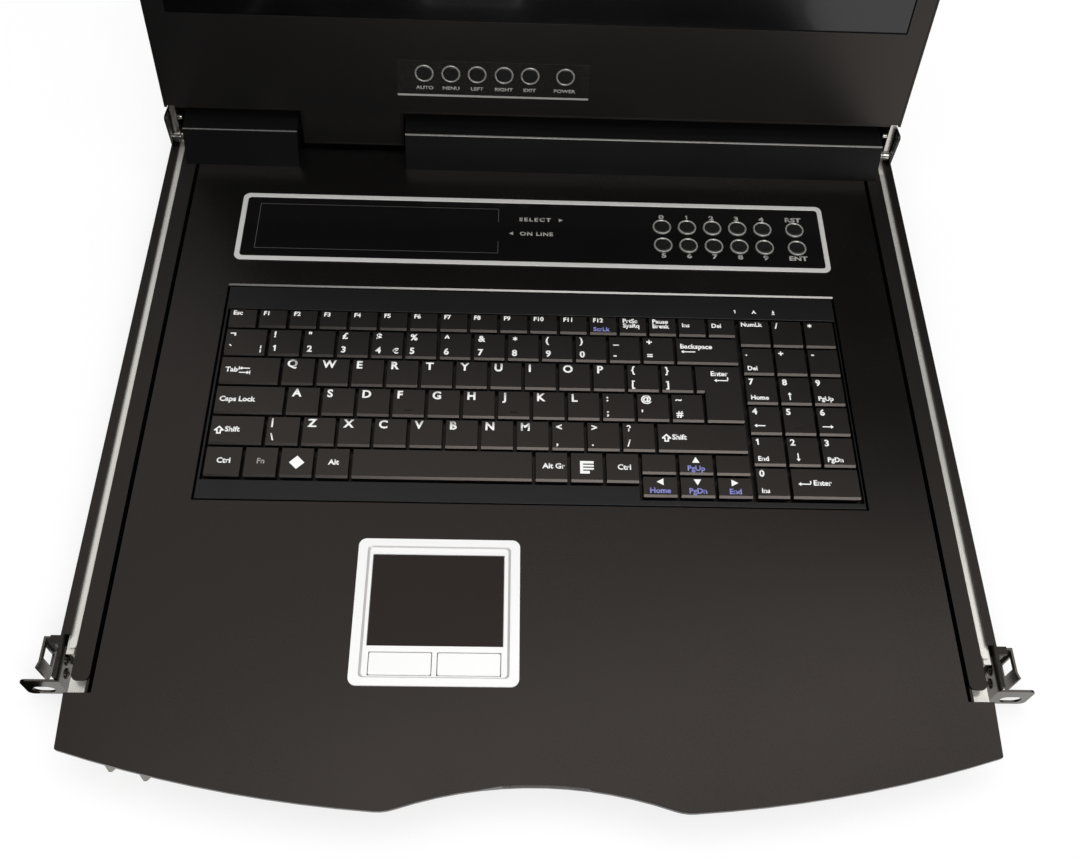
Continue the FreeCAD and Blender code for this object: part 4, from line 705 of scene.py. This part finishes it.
# cursor keys
HEAD_SIZE = 4.0 * MM
HEAD_DROP = 3.0 * MM               # from the cap's rear edge to the middle of the arrow head
SECOND_FOOT = 2.4 * MM             # from the cap's front edge to the second legend
ink = Print("cursor_legends", "cursor_keys", white_ink, "key_plastic")
blue = Print("cursor_second_legends", "cursor_keys", blue_ink, "key_plastic")
upper, lower = rows_of("cursor_keys", (3, 3))
for cap, head, text in ((upper[1], UP_HEAD, "PgUp"), (lower[0], LEFT_HEAD, "Home"),
                        (lower[1], DOWN_HEAD, "PgDn"), (lower[2], RIGHT_HEAD, "End")):
    low, high = cap
    middle = (low.x + high.x) / 2
    ink.shape(head, middle, high.y - HEAD_DROP, high.z, HEAD_SIZE)
    blue.words(text, middle, low.y + SECOND_FOOT, high.z, WORD, "centre")
ink.done()
blue.done()

# number pad
ink = Print("number_pad_legends", "number_pad_keys", white_ink, "key_plastic")
pad = rows_of("number_pad_keys", (3, 3, 3, 3, 3, 2))
for caps, texts in zip(pad, PAD_MARKS):
    for cap, text in zip(caps, texts):
        low, high = cap
        first, _, second = text.partition("|")
        if first == "Enter":
            long_arrow(ink, cap, 6.6, 6.6, -0.3, stop=2.0)
            word(ink, cap, first, 11.4)
        elif first == "NumLk":
            ink.words(first, low.x + 1.2 * MM, high.y - REAR - LABEL, high.z, LABEL)
        else:
            ink.words(first, low.x + 1.8 * MM, high.y - REAR - PAD_DIGIT, high.z, PAD_DIGIT)
        if second in QUARTERS:
            long_arrow(ink, cap, 6.0 if second in "<>" else 5.0, 5.2, -3.4, QUARTERS[second])
        elif second:
            ink.words(second, low.x + 2.2 * MM, low.y + FRONT, high.z, LABEL)
ink.done()

# Three lock marks on the frame, behind the number pad; sizes in millimetres.
frame_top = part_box("keyboard_frame")[1].z
ink = Print("lock_marks", "drawer", white_ink, "frame_plastic")
LOCK_Y = 221.5
LOCK_X = (114.8, 125.9, 137.1)
LOCK_MARK = 2.3
LOCK_BAR = 0.9
for text, x in zip("1A", LOCK_X):
    ink.words(text, x * MM, LOCK_Y * MM, frame_top, LOCK_MARK * MM, "centre")
ink.shape(turned(arrow(2.4, 0.9, 0.3), 1), LOCK_X[2] * MM, (LOCK_Y + 1.2) * MM, frame_top, MM)
bar(ink, (LOCK_X[2] - LOCK_BAR) * MM, (LOCK_X[2] + LOCK_BAR) * MM, (LOCK_Y - 0.5) * MM,
    (LOCK_Y - 0.1) * MM, frame_top)
ink.done()

BAR = (4.2, 0.9, 0.35)             # a homing bar's length, width and height, in millimetres
BAR_ROUND = 0.2 * MM
BAR_PLACE = 4.2 * MM               # from the cap's front edge


def homing_bar(name, body, cap):
    """A bar moulded on the front part of a key cap, to find the key by touch."""
    low, high = cap
    mesh = bmesh.new()
    size = Matrix.Diagonal((BAR[0] * MM, BAR[1] * MM, BAR[2] * 2 * MM, 1))
    place = Matrix.Translation(((low.x + high.x) / 2, low.y + BAR_PLACE, high.z))
    bmesh.ops.create_cube(mesh, size=1.0, matrix=place @ size)
    bmesh.ops.bevel(mesh, geom=mesh.edges[:], offset=BAR_ROUND, segments=2, affect="EDGES", profile=0.5)
    link(name, mesh_of(name, mesh), body, finishes["key_plastic"])


homing_bar("homing_bar_f", "typing_keys", capital[4])
homing_bar("homing_bar_j", "typing_keys", capital[7])
homing_bar("homing_bar_5", "number_pad_keys", pad[3][1])


# ---------------------------------------------------------------- push buttons
def lathe(profile, centre, steps=40):
    """Closed ring or knob: (radius, height) points from axis to axis, turned about an upright line."""
    mesh = bmesh.new()
    rings = []
    for radius, height in profile:
        if radius == 0:
            rings.append([mesh.verts.new((centre.x, centre.y, centre.z + height))])
            continue
        ring = []
        for k in range(steps):
            angle = 2 * math.pi * k / steps
            ring.append(mesh.verts.new((centre.x + radius * math.cos(angle),
                                        centre.y + radius * math.sin(angle), centre.z + height)))
        rings.append(ring)
    for inner, outer in zip(rings, rings[1:]):
        for k in range(steps):
            a = inner[k % len(inner)]
            b = inner[(k + 1) % len(inner)]
            c = outer[(k + 1) % len(outer)]
            d = outer[k % len(outer)]
            corners = list(dict.fromkeys((a, b, c, d)))
            if len(corners) > 2:
                mesh.faces.new(corners)
    bmesh.ops.recalc_face_normals(mesh, faces=mesh.faces)
    for face in mesh.faces:
        face.smooth = True
    return mesh


RIM = 1.0 * MM
RIM_ROUND = 0.35 * MM
FLOOR_DROP = 0.5 * MM              # from the rim's top to the floor inside the ring
DISH_FOOT = 0.49 * MM              # from the rim's top to the dish's underside
# Section of the dish: shares of the ring's inner radius, and depths below the rim's top.
DISH = ((0, DISH_FOOT), (0.98, DISH_FOOT), (0.98, 0.3 * MM), (0.8, 0.2 * MM), (0.3, 0.42 * MM),
        (0, 0.45 * MM))


def extent(node, back):
    """Lowest and highest corner of a CAD node in the frame that the matrix back leads to."""
    points = [back @ v.co for v in nodes[node].data.vertices]
    return (Vector([min(p[axis] for p in points) for axis in range(3)]),
            Vector([max(p[axis] for p in points) for axis in range(3)]))


def push_button(node, matrix=Matrix.Identity(4)):
    """Chrome ring with a dark dish set in it, in place of a plain button. matrix is its panel's frame."""
    low, high = extent(node, matrix.inverted())
    centre = Vector(((low.x + high.x) / 2, (low.y + high.y) / 2, low.z))
    outer = (high.x - low.x) / 2
    top = high.z - low.z
    inner = outer - RIM
    ring = lathe([(0, 0), (outer - RIM_ROUND, 0), (outer, RIM_ROUND), (outer, top - RIM_ROUND),
                  (outer - RIM_ROUND * 0.4, top - RIM_ROUND * 0.3), (outer - RIM / 2, top),
                  (inner + RIM_ROUND * 0.3, top - RIM_ROUND * 0.4), (inner, top - FLOOR_DROP),
                  (0, top - FLOOR_DROP)], centre)
    dish = lathe([(inner * share, top - depth) for share, depth in DISH], centre)
    for name, mesh, material, replaced in ((node + "_ring", ring, finishes["button_chrome"], [node]),
                                           (node + "_dish", dish, button_dish, [])):
        bmesh.ops.transform(mesh, matrix=matrix, verts=mesh.verts)
        link(name, mesh_of(name, mesh), body_of_node[node], material, replaced)


panel_buttons = [name for name in nodes if name.startswith("panel_button_")]
menu_buttons = [name for name in nodes if name.startswith("menu_button_")]
for name in panel_buttons:
    push_button(name)
for name in menu_buttons:
    push_button(name, on_lid)


# ---------------------------------------------------------------- switch panel and menu print
overlay_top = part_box("panel_overlay")[1].z
ink = Print("panel_print", "drawer", grey_ink, "overlay_gloss")
PANEL_LABEL = 3.1 * MM
PANEL_BOLD = 0.045
PANEL_LABEL_GAP = 0.8 * MM
PANEL_WORD = 2.7 * MM
PANEL_HEAD = 2.6 * MM
for name in panel_buttons:
    low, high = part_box(name)
    text = name.split("_")[-1]
    text = {"reset": "RST", "enter": "ENT"}.get(text, text)
    upper_row = text == "RST" or text in "01234"
    y = high.y + PANEL_LABEL_GAP if upper_row else low.y - PANEL_LABEL_GAP - PANEL_LABEL
    ink.words(text, (low.x + high.x) / 2, y, overlay_top, PANEL_LABEL, "centre", PANEL_BOLD, 1.3)

# The line round the panel's window has a gap in its right side, from GAP[0] to GAP[1].
WEST, EAST, SOUTH, NORTH = (value * MM for value in (-164.2, -21.7, 261.5, 296.2))
GAP = (271 * MM, 286 * MM)
LINE = 0.35 * MM
dim = Print("panel_window_outline", "drawer", dim_ink, "overlay_gloss")
for sides in ((WEST, EAST, NORTH - LINE, NORTH), (WEST, EAST, SOUTH, SOUTH + LINE),
              (WEST, WEST + LINE, SOUTH + LINE, NORTH - LINE), (EAST - LINE, EAST, SOUTH + LINE, GAP[0]),
              (EAST - LINE, EAST, GAP[1], NORTH - LINE)):
    bar(dim, *sides, overlay_top)
dim.done()
ink.words("SELECT", -9.5 * MM, 287.0 * MM, overlay_top, PANEL_WORD, squeeze=1.2, spacing=1.3)
ink.shape(RIGHT_HEAD, 15.5 * MM, 288.3 * MM, overlay_top, PANEL_HEAD)
ink.words("ON LINE", -9.0 * MM, 275.8 * MM, overlay_top, PANEL_WORD, squeeze=1.15, spacing=1.15)
ink.shape(LEFT_HEAD, -14.2 * MM, 277.1 * MM, overlay_top, PANEL_HEAD)
ink.done()

# Menu plate print, in the lid's own frame.
MENU_LABEL = 2.1 * MM
MENU_LABEL_FOOT = 4.6 * MM         # from the plate's lower edge to the labels' baseline
MENU_TRIM = 1.3 * MM
plate_low, plate_high = extent("menu_plate", on_lid.inverted())
ink = Print("menu_print", "lid", grey_ink, "overlay_gloss", on_lid)
for name in menu_buttons:
    low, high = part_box(name)
    ink.words(name.split("_")[-1].upper(), (low.x + high.x) / 2, plate_low.y + MENU_LABEL_FOOT, plate_high.z,
              MENU_LABEL, "centre", squeeze=1.2)
ink.done()
trim = Print("menu_trim", "lid", grey_ink, "overlay_gloss", on_lid)
bar(trim, plate_low.x, plate_high.x, plate_low.y, plate_low.y + MENU_TRIM, plate_high.z)
trim.done()


# ---------------------------------------------------------------- screws
HEAD_FACETS = 28
SHANK_FACETS = 20
CROWN = 1.12                       # radius of the ball that rounds a head, in head radii
CROSS_LENGTH = 1.15                # half of the cross's arms, in head radii
CROSS_WIDTH = 0.28


def screw_tree():
    """Pan-head screws with a cross recess, one on each point, that stand along its "outward" attribute."""
    tree = bpy.data.node_groups.new("pan_head_screws", "GeometryNodeTree")
    face = tree.interface
    face.new_socket("Geometry", in_out="INPUT", socket_type="NodeSocketGeometry")
    for name in ("Head Radius", "Head Height", "Recess", "Shank Radius", "Shank Length"):
        face.new_socket(name, in_out="INPUT", socket_type="NodeSocketFloat")
    face.new_socket("Material", in_out="INPUT", socket_type="NodeSocketMaterial")
    face.new_socket("Geometry", in_out="OUTPUT", socket_type="NodeSocketGeometry")
    given = add(tree, "NodeGroupInput").outputs

    def math_node(operation, source, value):
        return add(tree, "ShaderNodeMath", {1: value}, {0: source}, operation=operation).outputs[0]

    def lifted(geometry, height):
        lift = add(tree, "ShaderNodeCombineXYZ", links={"Z": height}).outputs["Vector"]
        return add(tree, "GeometryNodeTransform", links={"Geometry": geometry,
                                                         "Translation": lift}).outputs["Geometry"]

    blank = add(tree, "GeometryNodeMeshCylinder", {"Vertices": HEAD_FACETS},
                {"Radius": given["Head Radius"], "Depth": math_node("MULTIPLY", given["Head Height"], 2.0)})
    crown_radius = math_node("MULTIPLY", given["Head Radius"], CROWN)
    crown = add(tree, "GeometryNodeMeshUVSphere", {"Segments": HEAD_FACETS, "Rings": 16},
                {"Radius": crown_radius})
    ratio = add(tree, "ShaderNodeMath", links={0: given["Head Height"], 1: crown_radius},
                operation="DIVIDE").outputs[0]
    flat = add(tree, "ShaderNodeCombineXYZ", {"X": 1.0, "Y": 1.0}, {"Z": ratio})
    dome = add(tree, "GeometryNodeTransform", links={"Geometry": crown.outputs["Mesh"],
                                                     "Scale": flat.outputs["Vector"]}).outputs["Geometry"]
    head = add(tree, "GeometryNodeMeshBoolean", operation="INTERSECT", solver="EXACT")
    tree.links.new(lifted(blank.outputs["Mesh"], given["Head Height"]), head.inputs["Mesh 2"])
    tree.links.new(dome, head.inputs["Mesh 2"])
    long = math_node("MULTIPLY", given["Head Radius"], CROSS_LENGTH)
    thin = math_node("MULTIPLY", given["Head Radius"], CROSS_WIDTH)
    recessed = add(tree, "GeometryNodeMeshBoolean", operation="DIFFERENCE", solver="EXACT")
    tree.links.new(head.outputs["Mesh"], recessed.inputs["Mesh 1"])
    for across, along in ((long, thin), (thin, long)):
        size = add(tree, "ShaderNodeCombineXYZ", links={
            "X": across, "Y": along, "Z": math_node("MULTIPLY", given["Recess"], 2.0)}).outputs["Vector"]
        block = add(tree, "GeometryNodeMeshCube", links={"Size": size}).outputs["Mesh"]
        tree.links.new(lifted(block, given["Head Height"]), recessed.inputs["Mesh 2"])
    shank = add(tree, "GeometryNodeMeshCylinder", {"Vertices": SHANK_FACETS},
                {"Radius": given["Shank Radius"], "Depth": given["Shank Length"]}).outputs["Mesh"]
    joined = add(tree, "GeometryNodeJoinGeometry")
    tree.links.new(recessed.outputs["Mesh"], joined.inputs["Geometry"])
    tree.links.new(lifted(shank, math_node("MULTIPLY", given["Shank Length"], -0.5)),
                   joined.inputs["Geometry"])
    outward = add(tree, "GeometryNodeInputNamedAttribute", {"Name": "outward"}, data_type="FLOAT_VECTOR")
    turn = add(tree, "FunctionNodeAlignRotationToVector", {"Factor": 1.0},
               {"Vector": outward.outputs["Attribute"]}, axis="Z")
    each = add(tree, "GeometryNodeInstanceOnPoints",
               links={"Points": given["Geometry"], "Instance": joined.outputs["Geometry"],
                      "Rotation": turn.outputs["Rotation"]})
    real = add(tree, "GeometryNodeRealizeInstances", links={"Geometry": each.outputs["Instances"]})
    dressed = add(tree, "GeometryNodeSetMaterial", links={"Geometry": real.outputs["Geometry"],
                                                          "Material": given["Material"]})
    add(tree, "NodeGroupOutput", links={"Geometry": dressed.outputs["Geometry"]})
    return tree


screws_tree = screw_tree()
SCREW = {"Head Radius": 2.6 * MM, "Head Height": 1.3 * MM, "Recess": 0.6 * MM, "Shank Radius": 1.95 * MM}


def screws(node, shank, outward_of):
    """Replaces a CAD node of screws. outward_of gives the way a screw's head points, from its box."""
    seats = bpy.data.meshes.new(node + "_seats")
    points = []
    ways = []
    for low, high in boxes_of(node):
        way = outward_of(low, high)
        axis = max(range(3), key=lambda k: abs(way[k]))
        point = (low + high) / 2
        point[axis] = (high if way[axis] > 0 else low)[axis] - way[axis] * SCREW["Head Height"]
        points.append(point)
        ways.append(way)
    seats.from_pydata(points, [], [])
    stored = seats.attributes.new("outward", "FLOAT_VECTOR", "POINT")
    stored.data.foreach_set("vector", [value for way in ways for value in way])
    holder = placed("holder", seats)
    grow = holder.modifiers.new("screws", "NODES")
    grow.node_group = screws_tree
    slot = slot_of_node[node]
    values = dict(SCREW, **{"Shank Length": shank, "Material": finishes[slot]})
    for item in screws_tree.interface.items_tree:
        if item.in_out == "INPUT" and item.name in values:
            grow[item.identifier] = values[item.name]
    link(node + "_pan_heads", baked(holder), body_of_node[node], finishes[slot], [node])


REAR_SCREWS = 0.1                  # screws in the rails beyond this y, in metres, face outwards


def rail_way(low, high):
    """The front screws of a rail face the drawer, the rear ones face away from it."""
    side = math.copysign(1.0, low.x)
    return (side if low.y >= REAR_SCREWS else -side, 0.0, 0.0)


screws("rail_screws", 2.4 * MM, rail_way)
screws("deck_screws", 2.2 * MM, lambda low, high: (0.0, 0.0, 1.0))


# ---------------------------------------------------------------- floor, light and camera
NEAR = (0.8, 0.7)                  # up to this distance, the floor gives this share of plain white
FAR = (2.0, 1.0)
WORLD_GLOW = 0.68


def direct_rays(tree):
    """1 for camera, glossy and transmission rays, which see the background plain white."""
    path = add(tree, "ShaderNodeLightPath").outputs
    seen = add(tree, "ShaderNodeMath", links={0: path["Is Camera Ray"], 1: path["Is Glossy Ray"]},
               operation="MAXIMUM")
    return add(tree, "ShaderNodeMath", links={0: seen.outputs[0], 1: path["Is Transmission Ray"]},
               operation="MAXIMUM").outputs[0]


def floor_material():
    """White card. Direct rays get mostly plain white from it, with a faint shadow near the object."""
    material, tree = blank_material("white_card")
    place = add(tree, "ShaderNodeTexCoord").outputs["Object"]
    fibre = add(tree, "ShaderNodeTexNoise", {"Scale": 1 / (2 * MM), "Detail": 2.0}, {"Vector": place})
    tone = add(tree, "ShaderNodeMix", {"A": linear("FBFBFB"), "B": linear("FFFFFF")},
               {"Factor": fibre.outputs["Fac"]}, data_type="RGBA")
    card = add(tree, "ShaderNodeBsdfDiffuse", links={"Color": tone.outputs["Result"]})
    white = add(tree, "ShaderNodeEmission", {"Color": (1, 1, 1, 1), "Strength": 1.0})
    reach = add(tree, "ShaderNodeVectorMath", links={0: place}, operation="LENGTH")
    plain = add(tree, "ShaderNodeMapRange",
                {"From Min": NEAR[0], "From Max": FAR[0], "To Min": NEAR[1], "To Max": FAR[1]},
                {"Value": reach.outputs["Value"]})
    share = add(tree, "ShaderNodeMath", links={0: direct_rays(tree), 1: plain.outputs["Result"]},
                operation="MULTIPLY")
    both = add(tree, "ShaderNodeMixShader", links={0: share.outputs[0], 1: card.outputs[0],
                                                   2: white.outputs[0]})
    add(tree, "ShaderNodeOutputMaterial", links={"Surface": both.outputs[0]})
    return material


FLOOR = 6.0
floor_mesh = bpy.data.meshes.new("floor")
floor_mesh.from_pydata([(-FLOOR, -FLOOR, 0), (FLOOR, -FLOOR, 0), (FLOOR, FLOOR, 0), (-FLOOR, FLOOR, 0)], [],
                       [(0, 1, 2, 3)])
floor = placed("floor", floor_mesh)
floor_mesh.materials.append(floor_material())

world = bpy.data.worlds.new("studio")
scene.world = world
world.use_nodes = True
sky = world.node_tree
sky.nodes.clear()
glow = add(sky, "ShaderNodeBackground", {"Color": (1, 1, 1, 1), "Strength": WORLD_GLOW})
plain_white = add(sky, "ShaderNodeBackground", {"Color": (1, 1, 1, 1), "Strength": 1.0})
both = add(sky, "ShaderNodeMixShader", links={0: direct_rays(sky), 1: glow.outputs[0],
                                              2: plain_white.outputs[0]})
add(sky, "ShaderNodeOutputWorld", links={"Surface": both.outputs[0]})


def soft_box(name, size, place, turn, glow):
    """Rectangular lamp of size (x, y) in metres, turned by Euler angles, glow times as bright as white."""
    data = bpy.data.lights.new(name, "AREA")
    data.shape = "RECTANGLE"
    data.size, data.size_y = size
    data.energy = glow * math.pi * size[0] * size[1]
    lamp = placed(name, data)
    lamp.location = place
    lamp.rotation_euler = turn
    lamp.visible_camera = False


# Two soft boxes overhead: a deep one behind the hinge line, turned to fade the deck's right side, and a
# narrow one along its near edge, turned the other way.
soft_box("box_over_all", (3.4, 1.2), (0.214, 0.64, 1.8), (0, 0, math.radians(-22)), 0.72)
soft_box("box_over_front", (2.6, 0.45), (0.116, 0.431, 1.79), (0, 0, math.radians(13.6)), 0.85)
# A strong one in front, a little to the right: it lights the edges and chamfers that face the user.
FRONT_PLACE = Vector((0.35, -1.4, 1.5))
FRONT_TARGET = Vector((0.05, 0.2, 0))
aim = FRONT_TARGET - FRONT_PLACE
soft_box("box_in_front", (1.3, 0.7), FRONT_PLACE, aim.to_track_quat("-Z", "Y").to_euler(), 6.0)

# Black felt round the set, which only reflections see: walls, a ceiling above the lamps, and a carpet
# on the floor to the left of the object. Felt has no gloss, so it reads as an even near black.
TENT = 2.2
CEILING = 1.9
CARPET_EDGE = -0.237
CARPET_HEIGHT = MM
felt_mesh = bpy.data.meshes.new("black_felt")
corners = [(x, y, z) for z in (0, CEILING)
           for x, y in ((-TENT, -TENT), (TENT, -TENT), (TENT, TENT), (-TENT, TENT))]
corners += [(x, y, CARPET_HEIGHT)
            for x, y in ((-TENT, -TENT), (CARPET_EDGE, -TENT), (CARPET_EDGE, TENT), (-TENT, TENT))]
felt_mesh.from_pydata(corners, [], [(0, 1, 5, 4), (1, 2, 6, 5), (2, 3, 7, 6), (3, 0, 4, 7), (4, 5, 6, 7),
                                    (8, 9, 10, 11)])
felt = placed("black_felt", felt_mesh)
felt_mesh.materials.append(finish("black_felt", "161616", "1E1E1E", 2.0, (0.9, 1.0), specular=0.0))
for ray in ("camera", "diffuse", "transmission", "volume_scatter", "shadow"):
    setattr(felt, "visible_" + ray, False)

CAMERA_PLACE = Vector((-18.928, -192.481, 555.935)) * MM
CAMERA_ANGLES = (57.975, 3.7133, 4.2017)       # pitch below level, yaw to the right, roll
camera_data = bpy.data.cameras.new("camera")
camera_data.sensor_width = 36
camera_data.sensor_fit = "HORIZONTAL"
camera_data.lens = 39.216
camera_data.clip_start = 0.01
camera = placed("camera", camera_data)
pitch, yaw, roll = (math.radians(angle) for angle in CAMERA_ANGLES)
ahead = Vector((math.sin(yaw) * math.cos(pitch), math.cos(yaw) * math.cos(pitch), -math.sin(pitch)))
level = Vector((math.cos(yaw), -math.sin(yaw), 0))
above = level.cross(ahead)
right = math.cos(roll) * level + math.sin(roll) * above
up = math.cos(roll) * above - math.sin(roll) * level
stand = Matrix((right, up, -ahead)).transposed().to_4x4()
stand.translation = CAMERA_PLACE
camera.matrix_world = stand
scene.camera = camera
scene.view_settings.view_transform = "Standard"
